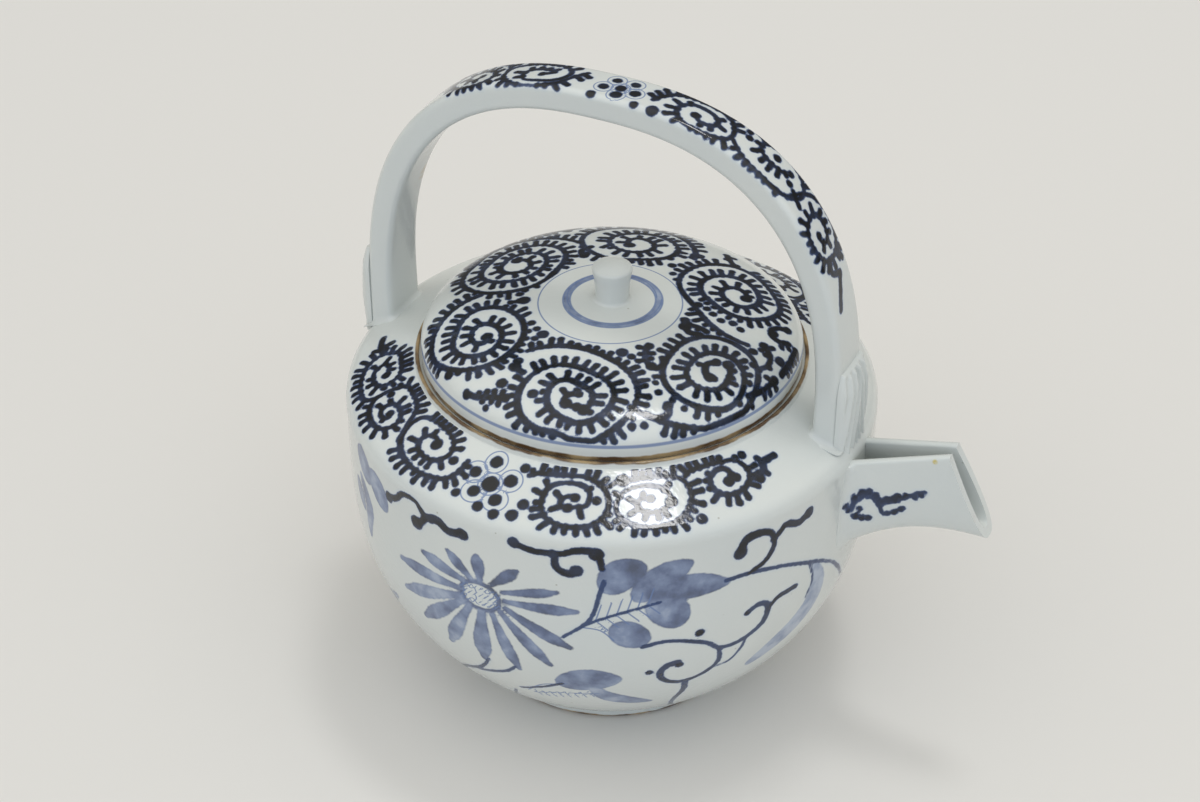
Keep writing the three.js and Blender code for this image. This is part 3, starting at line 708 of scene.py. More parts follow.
# One mark of the brush: its layer, path, half width and load of cobalt at each point.
def mark(layer, path, half_width, load):
    path = np.asarray(path, float)
    return [layer, path, np.broadcast_to(np.asarray(half_width, float), len(path)).copy(),
            np.broadcast_to(np.asarray(load, float), len(path)).copy()]


def dot(place, radius, load=0.95):
    return mark("ink", [place, (place[0] + 0.01, place[1])], radius, load)


def stem(path, half_width=STEM, load=0.85):
    path = evenly(path, 0.6)
    wander = flowing(brushes.normal(0, 0.09, len(path) // 9 + 3))[:len(path), 0]
    wander = np.resize(wander, len(path))
    fade = flowing(brushes.normal(0, 0.1, len(path) // 14 + 3))[:, 0]
    return mark("ink", path, half_width * (1 + wander), np.clip(load + np.resize(fade, len(path)), 0, 1))


# Dabs the arms of a scroll outward from its centre, each as long as the free ground allows.
def arms(path, centre, taken, allowed, reach=ARM_REACH, pitch=ARM_PITCH):
    run = np.concatenate([[0], np.cumsum(np.linalg.norm(np.diff(path, axis=0), axis=1))])
    place = pitch * 0.5
    made = []
    while place < run[-1] - 0.6:
        at = np.array([np.interp(place, run, path[:, k]) for k in (0, 1)])
        ahead = np.array([np.interp(place + 0.8, run, path[:, k]) for k in (0, 1)]) - at
        ahead /= max(np.linalg.norm(ahead), 1e-6)
        outward = np.array([-ahead[1], ahead[0]])
        if outward @ (at - np.asarray(centre)) < 0:
            outward = -outward
        outward = outward + ahead * brushes.normal(0, 0.13)
        outward /= np.linalg.norm(outward)
        wish = reach * (1 + brushes.normal(0, 0.07))
        lengths = np.arange(1.0, wish, 0.2)
        tips = at + lengths[:, None] * outward
        own = path[abs(run - place) > 5]
        gaps = [np.full(len(lengths), 9.0)]
        if len(own):
            gaps.append(np.linalg.norm(tips[:, None] - own[None], axis=2).min(1) - STEM - CHANNEL)
        for others, half in taken:
            gaps.append(np.linalg.norm(tips[:, None] - others[None], axis=2).min(1) - half - 0.75)
        free = (np.min(gaps, axis=0) > 0.7) & allowed(tips)
        count = len(lengths) if free.all() else int(np.argmin(free))
        if count:
            tip = at + lengths[count - 1] * outward
            blob = ARM_TIP * (1 + brushes.normal(0, 0.09))
            made.append(mark("ink", [at, at + (tip - at) * 0.35, at + (tip - at) * 0.7, tip],
                             [1.1, 0.94, 0.96, blob], [0.85, 0.85, 0.95, 1]))
            taken.append((np.array([tip]), ARM_TIP))
        place += pitch * (1 + brushes.normal(0, 0.07))
    return made


# Leaves on the mesh how far each point is from the nearest mark of each layer, and that mark's load.
def paint(piece, marks):
    mesh = piece.data
    count = len(mesh.vertices)
    places = np.empty(count * 3, np.float32)
    mesh.vertices.foreach_get("co", places)
    places = places.reshape(-1, 3).astype(float)
    places[:, 0] -= AXIS_X
    places *= 1000
    facing = np.empty(count * 3, np.float32)
    mesh.vertices.foreach_get("normal", facing)
    facing = facing.reshape(-1, 3)
    found = {layer: np.full(count, 3.0) for layer in ("ink", "wash", "line_near")}
    loads = {layer: np.zeros(count) for layer in ("ink", "wash")}
    side = np.full(count, 3.0)
    for layer, path, half, load in marks:
        for first in range(0, len(path) - 1, 6):
            last = min(first + 6, len(path) - 1)
            ends = path[first:last + 1]
            margin = half[first:last + 1].max() + BRUSH_REACH
            near = np.flatnonzero(
                ((places > ends.min(0) - margin) & (places < ends.max(0) + margin)).all(1))
            if not near.size:
                continue
            start, step = ends[:-1], np.diff(ends, axis=0)
            offset = places[near][:, None] - start[None]
            along = np.clip((offset * step).sum(2) / (step ** 2).sum(1), 0, 1)
            away = offset - along[..., None] * step
            gap = np.linalg.norm(away, axis=2)
            width = half[first:last] + along * np.diff(half[first:last + 1])
            depth = gap if layer == "line" else gap - width
            best = depth.argmin(1)
            rows = np.arange(len(near))
            depth, along = depth[rows, best], along[rows, best]
            if layer == "line":
                closer = depth < found["line_near"][near]
                turn = np.cross(step[best], offset[rows, best])
                sign = np.sign((turn * facing[near]).sum(1))
                sign[sign == 0] = 1
                found["line_near"][near[closer]] = depth[closer]
                side[near[closer]] = (sign * depth / width[rows, best])[closer]
                continue
            closer = depth < found[layer][near]
            found[layer][near[closer]] = depth[closer]
            amount = load[first:last][best] + along * np.diff(load[first:last + 1])[best]
            loads[layer][near[closer]] = amount[closer]
    kept = {"ink": found["ink"], "ink_load": loads["ink"], "wash": found["wash"],
            "wash_load": loads["wash"], "line": side, "line_near": found["line_near"]}
    for name, values in kept.items():
        mesh.attributes.new(name, "FLOAT", "POINT").data.foreach_set("value", values.astype(np.float32))


# Puts a mark drawn on a flat chart on to the surface; fine steps keep it on the curve.
def laid(marks, surface):
    return [[layer, surface(path[:, 0], path[:, 1]), half, load] for layer, path, half, load in marks]


def on_shoulder(east, down):
    turn = np.radians(np.asarray(east, float) / SHOULDER_DEGREE)
    down = np.asarray(down, float) + SHOULDER_START
    share = down / cone_length
    end = corner[-1]
    radius = NECK_BASE_R + (end[0] - NECK_BASE_R) * share
    height = NECK_BASE_Z + (end[1] - NECK_BASE_Z) * share
    past = np.radians(corner_end) - np.maximum(down - cone_length, 0) / CORNER_R
    on_corner = down > cone_length
    radius = np.where(on_corner, corner_centre_r + CORNER_R * np.cos(past), radius)
    height = np.where(on_corner, SPLIT_Z + CORNER_R * np.sin(past), height)
    return np.stack([radius * np.cos(turn), radius * np.sin(turn), height], -1)


# Each scroll: points of (degrees round the pot, millimetres down from a line just outside the neck).
SHOULDER_SCROLLS = (
    ((-139.6, 8), (-139.6, 14), (-141, 16.8), (-144.6, 17.2), (-148.4, 16.8), (-151.5, 15.8), (-154.2, 14),
     (-156.3, 10), (-154.9, 4), (-150, 2.7), (-146.5, 2.8), (-144.2, 3.9), (-142.5, 8.5), (-144.6, 12),
     (-149.2, 12.3), (-151.7, 9), (-150.7, 7.3), (-148.8, 7), (-146.9, 7.8)),
    ((-122, 13.5), (-124.4, 8.5), (-127, 3.5), (-129.3, 2), (-132.4, 1.5), (-135.8, 1.5), (-138.5, 2.7),
     (-139.6, 8), (-139.3, 12.5), (-137.7, 15), (-135.4, 16.5), (-132.4, 17), (-129.3, 16.3), (-127.4, 14),
     (-127, 11), (-128.2, 8.5), (-130.5, 7.5), (-133.2, 7.8), (-134.7, 9.5), (-134.5, 12), (-132.8, 13.5),
     (-130.9, 13), (-130.5, 11.5), (-131.4, 10.8)),
    ((-102, 6), (-102.1, 9), (-102.7, 12), (-104.2, 14.5), (-106.9, 16), (-110.7, 17), (-114.5, 16.8),
     (-118.4, 15.5), (-121, 13.5), (-122.6, 11), (-124, 7), (-123.7, 4), (-122.2, 2), (-119.1, 1),
     (-114.5, .8), (-111.5, 1.6), (-109.2, 3), (-107.7, 6), (-108, 8.5), (-109.6, 11), (-112.6, 12),
     (-115.7, 11.3), (-117.4, 9), (-117.2, 6.5), (-115.7, 5), (-113.6, 5.3), (-112.8, 6.5)),
    ((-85.2, 3.5), (-83, 2), (-81, 1.8), (-76.5, 1.2), (-70.7, 1.2), (-68, 2.6), (-65.8, 5), (-64.8, 8),
     (-64.8, 11.5), (-65.8, 14.5), (-68, 17), (-70.7, 18.3), (-74.5, 18.3), (-77.6, 16.8), (-79.5, 14),
     (-80.1, 10.5), (-79.7, 7), (-78, 4.8), (-75.3, 3.8), (-72.2, 3.8), (-70, 5), (-69.2, 7.5),
     (-69.6, 10.5), (-71.5, 11.5), (-75.3, 12), (-75.7, 9.5), (-74.2, 8.3), (-72.6, 8.5)),
    ((-64.6, 4), (-62.5, 2.4), (-60, 2.2), (-57, 1.6), (-52, 1.5), (-48, 2.4), (-45.8, 4.4), (-45.2, 8),
     (-46, 12), (-48.6, 16), (-52, 18), (-57, 18.2), (-61, 16), (-63, 12), (-62.4, 8), (-60, 5.2),
     (-56, 4.2), (-52.4, 5.2), (-50.4, 8), (-51, 11.4), (-53.8, 13.4), (-57, 12.8), (-58.4, 10.4),
     (-57, 8.4), (-55, 8.8)),
    ((-45.2, 3), (-43.7, 1.7), (-40.6, 1.3), (-37.2, 1.1), (-33.7, 1.7), (-30.7, 2.5), (-29.2, 6), (-29.5, 9),
     (-31.4, 11.5), (-34.5, 12.8), (-37.6, 12.3), (-39.5, 10), (-39.8, 7), (-38.7, 4.8), (-36, 3.5),
     (-34.1, 4.5), (-33.7, 7)),
)
SHOULDER_TAILS = (
    ((-156.3, 10), (-158.5, 10.4), (-161, 11.5), (-164.5, 11.8)), ((-159.5, 11), (-161, 7.5)),
    ((-158.5, 10.4), (-159, 13.5)), ((-28.8, 9.6), (-25.7, 9.5), (-24.6, 7), (-22.3, 6.8), (-20.4, 6.8)),
    ((-24.4, 7), (-25, 5)), ((-27.2, 9.6), (-27.6, 11.5)), ((-25.7, 9.4), (-25.3, 11)))
SHOULDER_DOTS = (
    (-93.3, 10, 2.4), (-98.5, 8, 1.7), (-95, 2.5, 1.8), (-89, 7, 1.9), (-96, 14, 1.7), (-90.3, 14.5, 1.8),
    (-93.2, 18.2, 1.5), (-89.2, 19, 1.5), (-83.8, 13.5, 1.6), (-85.3, 17.8, 1.7), (-99.5, 16.8, 1.3),
    (-87, 1.6, 1.4), (-112.8, 6.5, 1.8), (-67.5, 9, 1.3), (-61.2, 2, 1.9), (-45, 18, 1.5), (-35.3, 8.5, 1.5),
    (-33, 8, 1.4), (-50.4, 10.6, 1.7), (-28, 2, 1.3), (-72.6, 8.6, 1.1), (-73.9, 12.2, 1.4),
    (-146.6, 8.2, 1.4), (-131.4, 10.8, 1.2), (-138, 8, 1.3), (-105.5, 8, 1.4))


def shoulder_ground(tips):
    return (tips[:, 1] > -0.9) & (tips[:, 1] < 20.2)


shoulder_marks = []
to_mm = np.array([SHOULDER_DEGREE, 1])
shoulder_stems = [flowing(scroll) * to_mm for scroll in SHOULDER_SCROLLS]
taken = [(np.array([(east * SHOULDER_DEGREE, down)]), size) for east, down, size in SHOULDER_DOTS]
taken += [(path, STEM) for path in shoulder_stems]
for number, path in enumerate(shoulder_stems):
    others = [entry for entry in taken if entry[0] is not path]
    shoulder_marks += [stem(path), dot(path[-1], 1.5)]
    grown = arms(evenly(path, 0.6), path[-25:].mean(0), others, shoulder_ground, 3.5, 2.6)
    shoulder_marks += grown
    taken += [(entry[1][-1:], ARM_TIP) for entry in grown]
for tail in SHOULDER_TAILS:
    shoulder_marks.append(stem(flowing(tail) * to_mm, 1.1, 0.95))
for east, down, size in SHOULDER_DOTS:
    shoulder_marks.append(dot((east * SHOULDER_DEGREE, down), size * 1.12))
for east, down, size in SHOULDER_DOTS[:6]:
    ring_turn = np.linspace(0, 2 * math.pi, 40)
    ring = np.stack([east * SHOULDER_DEGREE + 3.9 * np.cos(ring_turn), down + 3.9 * np.sin(ring_turn)], -1)
    shoulder_marks.append(mark("line", ring, 0.26, 0.5))
half_way = np.array([-1, -1, 1])


# The unseen side carries the same painting, half a turn round the pot, but it is bare next to the spout.
def twice(marks, bare_to=0):
    copies = [[layer, path * half_way, half, load] for layer, path, half, load in marks]
    return marks + [copy for copy in copies if math.degrees(math.atan2(copy[1][0][1], copy[1][0][0])) > bare_to]


shoulder_marks = twice(laid(shoulder_marks, on_shoulder), 43)

# Chrysanthemum and vines on the wall
# One large flower, its leaves and thin curling vines fill the wall between the feet of the handle.
# Petals and leaves are pale washes of cobalt, and the vines are drawn with a loaded brush.
PETALS = (
    (-97, 78.5, -114.5, 76.5, 4.5, .42), (-96.3, 83, -106.8, 85.5, 4.5, .45), (-94, 85, -99.7, 91.5, 4, .5),
    (-91.6, 86, -92.3, 94, 4.5, .55), (-88.2, 86, -83.1, 92.5, 4, .66), (-85.5, 83.5, -74.4, 87, 3.5, .7),
    (-84.8, 79.5, -70.3, 80, 4, .6), (-84.8, 76, -72, 64, 4.5, .58), (-86.2, 73.5, -76.7, 54, 4.5, .5),
    (-88.5, 71, -84.5, 48, 4.5, .45), (-91.6, 70.5, -93.3, 48, 6, .42), (-95.3, 71, -102.4, 49.5, 5, .4),
    (-97, 73, -109.1, 55.5, 5, .38), (-97.7, 75, -114.2, 64, 5, .4))
# Leaf blades and soft lobes: points along the middle, full width and load.
BLADES = (
    (((-64.6, 90.5), (-62, 95), (-58.2, 97.4)), 12, .58), (((-58.6, 86.5), (-53.4, 93), (-48.6, 97)), 11, .52),
    (((-56.5, 86.5), (-48, 88), (-40.3, 86.5)), 10, .58), (((-54.9, 82.6), (-52, 79), (-50.4, 74.6)), 12.5, .5),
    (((-62.6, 73.4), (-60.3, 71), (-57.4, 68.4)), 11, .48),
    (((-130.5, 102), (-128.5, 99), (-126, 95)), 10, .45), (((-124, 99), (-121.5, 95.5), (-119, 91)), 10, .42),
    (((-133.5, 88), (-132, 84), (-130, 80)), 6.5, .45), (((-131, 92), (-127, 84), (-127.5, 77), (-128, 71)), 6, .42),
    (((-134, 36), (-128, 44), (-120.6, 53)), 6, .35), (((-155, 14), (-150, 22), (-144, 30)), 5, .35),
    (((-146, 13), (-140, 18), (-135, 23)), 5, .35), (((-140, 11), (-133, 13.5), (-128, 17)), 5, .35),
    (((-74.5, 45.5), (-69, 48.5), (-63, 49.6)), 13, .5), (((-68, 43), (-64.3, 37.5), (-59, 34), (-54.5, 32)), 7.5, .42),
    (((-30, 43), (-24.5, 48), (-19, 53.4), (-15.4, 60), (-14.6, 68), (-16.6, 76.5)), 10, .12),
    (((-8, 22), (-4.5, 19), (-1, 14)), 8, .25))
# Vines: points along the middle, half width at the start and at the end, and load.
VINES = (
    (((-92, 49.5), (-94.3, 44), (-97.7, 39), (-103.8, 33), (-108.5, 25), (-112.5, 17), (-117.2, 12),
      (-125.3, 7)), .5, 1.0, .36),
    (((-85.5, 49.5), (-88.5, 45), (-93.3, 41), (-97.3, 38.5)), .45, .6, .3),
    (((-88.9, 31), (-91.2, 24), (-95.3, 16), (-100, 11)), .35, .4, .35),
    (((-117, 97.5), (-114.5, 99), (-111.8, 103), (-107.8, 103.5), (-105.1, 100), (-101.7, 101), (-99, 99),
      (-95.7, 100)), 1.15, 1.35, .9),
    (((-105.1, 100), (-106, 97.5), (-107.8, 95.8)), 1.1, 1.5, .9),
    (((-83.8, 103), (-80.4, 101.5), (-77, 101.5), (-73.7, 102), (-71, 103.5), (-67, 103), (-65.9, 97)), 1.05, 1, .88),
    (((-75.4, 101.5), (-75, 96.5), (-72.4, 94.5), (-71, 96)), 1, 1.2, .88),
    (((-65.4, 92.6), (-66.3, 88), (-67.2, 82), (-68.3, 77.5), (-70.3, 74), (-74, 69)), .5, .5, .2),
    (((-70.3, 74), (-67, 77), (-62.2, 80), (-56.8, 82.5), (-54.1, 83.5)), .45, .35, .25),
    (((-40.3, 87), (-34.9, 87), (-29.9, 85.5), (-25, 83.3), (-20, 80), (-14.6, 76), (-9.9, 71), (-5.9, 65),
      (-1.8, 57)), .65, .5, .32),
    (((-34.9, 87), (-31.2, 89.5), (-29.2, 94), (-29.9, 99), (-32.6, 101), (-35.9, 100.6), (-37.3, 97)), .75, 1.5, .85),
    (((-29.5, 96.5), (-27.9, 98), (-26.1, 100), (-22.7, 98), (-20, 99.5)), .95, 1.3, .8),
    (((-57.5, 65.5), (-52.8, 67), (-48.1, 65.5), (-43.4, 62.5), (-40.7, 59), (-37.3, 58.5), (-33.9, 60),
      (-30.5, 63.5), (-29.5, 69), (-30.5, 72), (-32.6, 72.5), (-34.6, 71)), .6, 1.0, .45),
    (((-29.5, 69), (-27, 72), (-22.4, 72.5)), .7, 1.0, .7),
    (((-40.7, 59), (-40, 53), (-41.3, 49), (-44.7, 45.5), (-48.8, 44.5), (-52.1, 47), (-53.5, 51), (-52.1, 55),
      (-49.8, 56)), .65, 1.1, .55),
    (((-41.3, 49), (-37.3, 50), (-34.9, 55), (-34.3, 59.5)), .4, .45, .3),
    (((-47.1, 44), (-46.7, 38), (-47.8, 31), (-47.4, 24), (-43.4, 14)), .9, .5, .4),
    (((-75, 45), (-80.4, 40), (-86.5, 35)), .5, .45, .5),
    (((-18.7, 79), (-16.7, 71), (-18, 64)), .4, .4, .35))
WALL_DOTS = (
    (-117, 97.3, 1.9), (-107.8, 95.5, 2.4), (-95.5, 100, 2.1), (-67, 102.6, 2.3), (-71, 96, 2), (-37.3, 96, 2.3),
    (-83.8, 103, 1.9), (-75.6, 101.4, 1.7), (-19.8, 99.5, 2), (-34.8, 70.8, 1.1), (-22.2, 72.4, 1), (-49.3, 54.6, 1.3), (-55.8, 52.5, 1.2),
    (-45.5, 68.2, 1.5), (-53.2, 51, .9))
FINE_LINES = (
    ((-70.3, 74), (-66.3, 73), (-63.6, 69)), ((-84.5, 35), (-80, 42), (-74, 45)), ((-83, 34), (-76, 38), (-67, 40)))
FLOWER = (-91.9, 78.2)
FLOWER_HALF_WIDTH = 7.2
FLOWER_HALF_HEIGHT = 5.8


def on_wall(east, height):
    turn = np.radians(np.asarray(east, float) / DEGREE_MM)
    radius = bowl_radius(height)
    corner_rise = np.clip(np.asarray(height, float) - SPLIT_Z, 0, CORNER_R - 0.01)
    radius = np.where(corner_rise > 0, corner_centre_r + np.sqrt(CORNER_R ** 2 - corner_rise ** 2), radius)
    return np.stack([radius * np.cos(turn), radius * np.sin(turn), height], -1)


DEGREE_MM = BELLY_R * math.pi / 180
wall_scale = np.array([DEGREE_MM, 1])
wall_marks = []
for base_east, base_z, tip_east, tip_z, width, load in PETALS:
    heart_end = np.array(FLOWER) + (np.array([base_east, base_z]) - FLOWER) * 0.82
    path = np.linspace(heart_end, (tip_east, tip_z), 14) * wall_scale
    share = np.linspace(0, 1, 14)
    half = width / 2 * (0.55 + 0.55 * smoothstep(share, 0, 0.62)) * (1 - 0.55 * smoothstep(share, 0.72, 1))
    path = path[0] + (path - path[0]) * 0.96
    wall_marks.append(mark("wash", path, half, load + 0.14 * (share - 0.4)))
for knots, width, load in BLADES:
    path = evenly(flowing(knots) * wall_scale, 0.8)
    share = np.linspace(0, 1, len(path))
    half = width / 2 * np.sin(math.pi * (0.12 + 0.8 * share ** 0.9)) ** 0.8
    wall_marks.append(mark("wash", path, half, load + 0.12 * (share - 0.5)))
for knots, first, last, load in VINES:
    path = evenly(flowing(knots) * wall_scale, 0.8)
    share = np.linspace(0, 1, len(path))
    wander = np.resize(flowing(brushes.normal(0, 0.1, len(path) // 8 + 3))[:, 0], len(path))
    wall_marks.append(mark("ink", path, (first + (last - first) * share) * (1 + wander), load))
for east, height, size in WALL_DOTS:
    wall_marks.append(dot((east * DEGREE_MM, height), size, 0.8))
for knots in FINE_LINES:
    wall_marks.append(mark("line", evenly(flowing(knots) * wall_scale, 0.8), 0.3, 0.5))
# The heart of the flower is a ring with a cross hatched net in it.
heart = np.array(FLOWER) * wall_scale
ring_turn = np.linspace(0, 2 * math.pi, 60)
heart_ring = heart + np.stack([
    (FLOWER_HALF_WIDTH - 0.5) * np.cos(ring_turn), (FLOWER_HALF_HEIGHT - 0.5) * np.sin(ring_turn)], -1)
wall_marks.append(mark("wash", heart_ring, 0.95, 0.7))
for slope in (-1, 1):
    for shift in np.arange(-5.4, 5.5, 1.8):
        middle = heart + np.array([shift, 0])
        reach = math.sqrt(max(0, 1 - (shift / FLOWER_HALF_WIDTH) ** 2)) * 3.4
        hatch = middle + np.outer([-1, 0, 1], (slope * reach * 0.75, reach))
        wall_marks.append(mark("line", hatch, 0.2, 0.5))
# Comb veins of the big leaf, drawn above and below its midrib.
for step in range(6):
    east, height = -67.2 + step * 2.1, 77 + step * 1.15
    for lean, length in ((1.1, 6), (2.4, -3.6)):
        tip = (east + lean, height + length)
        wall_marks.append(mark("line", np.array([(east, height), tip]) * wall_scale, 0.28, 0.5))
for step in range(8):
    east, height = -82.5 + step * 1.9, 36 + step * 0.7
    tip = (east + 1.2, height - 3.6)
    wall_marks.append(mark("line", np.array([(east, height), tip]) * wall_scale, 0.25, 0.5))
wall_marks = twice(laid(wall_marks, on_wall), -180)
paint(bowl, wall_marks + shoulder_marks)
paint(shoulder, shoulder_marks + wall_marks)

# Sprig on the spout
# A short curled sprig with dabbed buds on each side of the spout, in thinner cobalt.
SPRIG_STEMS = (
    ((86.9, 90.4), (87.6, 92.6), (89.3, 94.6), (91.5, 95.5), (93.8, 94.6), (95.2, 92), (96.5, 89.6), (99.5, 91),
     (102.4, 93.6)),
    ((93.8, 94.4), (96, 93.6), (97.4, 94.4)), ((97.4, 94.6), (101, 96.2), (104.5, 98.8), (108.6, 101.2)),
    ((87.6, 87.6), (89.6, 87.8), (91.8, 87.6)))
SPRIG_DOTS = (
    (87.4, 94.2, .9), (89.6, 96.6, 1.1), (91.6, 97.2, 1), (93.8, 96.6, .9), (88.4, 87.2, 1), (90.2, 86.6, .9),
    (92, 87.4, 1), (97.4, 95, 1.2), (100.5, 97.2, 1.1), (102.8, 98.2, .9), (105.6, 98.2, .8), (89.4, 90.2, .8),
    (97.6, 90, .8), (101.6, 92.4, .7), (85, 91.4, 1), (86, 89.4, .8), (95.4, 94.6, 1), (99.4, 95.8, 1.2), (99.6, 91, .9),
    (107.4, 100, .8))


def on_spout(x, height):
    x, height = np.asarray(x, float), np.asarray(height, float)
    shares = np.linspace(0.02, 0.5, 60)
    walls = spout_point((x - BELLY_R)[:, None], shares[None], np.zeros((1, 60)))
    best = abs(walls[..., 2] - height[:, None]).argmin(1)
    return walls[np.arange(len(x)), best]


sprig_marks = [stem(flowing(knots), 0.66, 0.5) for knots in SPRIG_STEMS]
sprig_marks += [dot((x, height), size * 1.25, 0.66) for x, height, size in SPRIG_DOTS]
sprig_marks = laid(sprig_marks, on_spout)
other_side = np.array([1, -1, 1])
sprig_marks += [[layer, path * other_side, half, load] for layer, path, half, load in sprig_marks]
paint(spout, sprig_marks)

# Scrolls on the crown of the handle
# Four small octopus scrolls and a group of dots run along the strap, above its white sides.
# Each scroll: points of (millimetres along from the rear foot, millimetres sideways).
HANDLE_SCROLLS = (
    ((122, 1), (121, 5), (116, 7.4), (109, 7.2), (103, 4), (102, -1), (106, -5), (113, -6.4), (118, -3.5),
     (117.6, 1), (113, 3.4), (108.6, 2.4), (108, -.6), (111, -2.2), (113.4, -.6)),
    ((148, 3.5), (145, -.5), (142, -5), (136, -7.6), (130, -7.8), (125.5, -6.2), (122.5, -3), (122.5, 2),
     (126, 4.5), (132, 5.8), (139, 5.5), (143, 3), (143, -1), (140, -4), (136, -5), (131, -5), (129, -2), (130, 1),
     (134, 2.3), (138.5, 1), (135, -1)),
    ((172, -2), (174, 2), (178, 5.5), (187, 6.8), (194, 5.5), (197.5, 1), (197, -4), (191, -7), (184, -6.8),
     (180.5, -4), (180, 0), (183, 3.3), (189, 3.3), (192, 1), (191.5, -2), (188, -3.3), (185.5, -1.3)),
    ((198, -2), (204, -6), (211, -7), (219, -6), (224, -2), (224.5, 3), (220, 7), (213, 8), (207, 6.5),
     (206.5, 2.5), (210, .5), (215, 1), (218, 3.5)),
    ((221.5, -5), (223.5, 0), (227, 5), (233, 7.5), (240, 6.5), (244.5, 3), (245, -3), (240, -6.5), (234, -6),
     (231, -2), (232, 2), (236, 3), (240, 1), (239, -2), (237, -2)))
HANDLE_TAILS = (
    ((245, -2), (249, -3), (251, 1), (253, 0), (257, -2), (261, -3.5)), ((245, 4), (248, 5)),
    ((102, 1), (98, 2.4), (95, .4)))
HANDLE_DOTS = (
    (161, -1, 1.5), (161.2, -4.8, 1.6), (166, -1.8, 1.5), (155.8, -2, 1.4), (158, 3, 1.3), (164, 3, 1.3),
    (154, -7, 1.3), (168, -7, 1.2), (174, -6.8, 1.7), (185.5, -1.3, 1.4), (219.5, 0, 1.1), (202, 3, 1.1),
    (201, 5.6, 1), (212, 4.2, 1.3), (237, -1.8, 1), (251, 1, 1.1), (135, -1, 1.1))


def on_strap(run, sideways):
    fall = HANDLE_CROWN * (np.asarray(sideways, float) / (HANDLE_TOP_WIDTH / 2)) ** 2
    return strap_point(np.asarray(run, float), np.asarray(sideways, float), fall)


def strap_ground(tips):
    return (abs(tips[:, 1]) < 8.7) & (tips[:, 0] > 96) & (tips[:, 0] < 262)


handle_stems = [flowing(scroll) for scroll in HANDLE_SCROLLS]
taken = [(np.array([(run, sideways)]), size) for run, sideways, size in HANDLE_DOTS]
taken += [(path, STEM) for path in handle_stems]
handle_marks = []
for path in handle_stems:
    others = [entry for entry in taken if entry[0] is not path]
    handle_marks += [stem(path, 0.76), dot(path[-1], 1.3)]
    grown = arms(evenly(path, 0.6), path[-40:].mean(0), others, strap_ground, 3.2, 2.5)
    handle_marks += grown
    taken += [(entry[1][-1:], ARM_TIP) for entry in grown]
handle_marks += [stem(flowing(tail), 1.0, 0.9) for tail in HANDLE_TAILS]
handle_marks += [dot((run, sideways), size * 1.15) for run, sideways, size in HANDLE_DOTS]
for run, sideways, size in HANDLE_DOTS[:6]:
    ring = np.stack([run + 2.9 * np.cos(ring_turn), sideways + 2.9 * np.sin(ring_turn)], -1)
    handle_marks.append(mark("line", ring, 0.22, 0.5))
paint(handle, laid(handle_marks, on_strap))

# Lid
# A full thrown dome with a round edge, painted with six octopus scrolls round a ringed centre.
# The bare upright edge under the glaze line sits in the ledge of the neck and has toasted brown.
LID_R = 60.5
LID_EDGE_Z = 120.8
LID_RISE = 16
LID_SPREAD = 1.8
LID_FULLNESS = 2.8
LID_WALL = 4.5
LID_CELL = 0.52
LID_INSET = 0.03
FLANGE_OUTER_R = 56.2
FLANGE_INNER_R = 52.7


# Points along the domed face from the centre out to a radius, at an inset below it.
def dome_line(out_to, inset=0):
    reach = LID_R - inset
    turn = np.linspace(0, math.asin((out_to / reach) ** (LID_SPREAD / 2)), 1500)
    return np.stack([
        reach * np.sin(turn) ** (2 / LID_SPREAD),
        LID_EDGE_Z + (LID_RISE - inset) * np.abs(np.cos(turn)) ** (2 / LID_FULLNESS)], -1)


dome = dome_line(LID_R)
dome[:, 1] -= LID_INSET
dome_run = np.concatenate([[0], np.cumsum(np.linalg.norm(np.diff(dome, axis=0), axis=1))])
dome_middle = dome[dome[:, 0] < 22]
dome_outer = dome[dome[:, 0] >= 22]
lid_under = evenly(dome_line(FLANGE_INNER_R, LID_WALL), 4)
lid_outline = np.vstack([
    lid_under, [(FLANGE_INNER_R, LID_SEAT_Z), (LID_R - 0.4, LID_SEAT_Z), (LID_R, LID_SEAT_Z + 0.35)],
    [(LID_R, LID_SEAT_Z + 1.1), (LID_R, LID_SEAT_Z + 1.9)],
    evenly(dome_outer, LID_CELL)[::-1], evenly(dome_middle, 0.9)[::-1]])
lid_points, lid_numbers = spun(lid_outline, 760)
lid_glaze = porcelain("cobalt_painting_under_clear_glaze_on_the_lid", True, LID_EDGE_Z - 0.9)
lid = fired("glazed_lid_dome", lid_points, skin(lid_numbers, loop_second=False), lid_glaze)
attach(lid, "lid")
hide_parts("lid_dome")

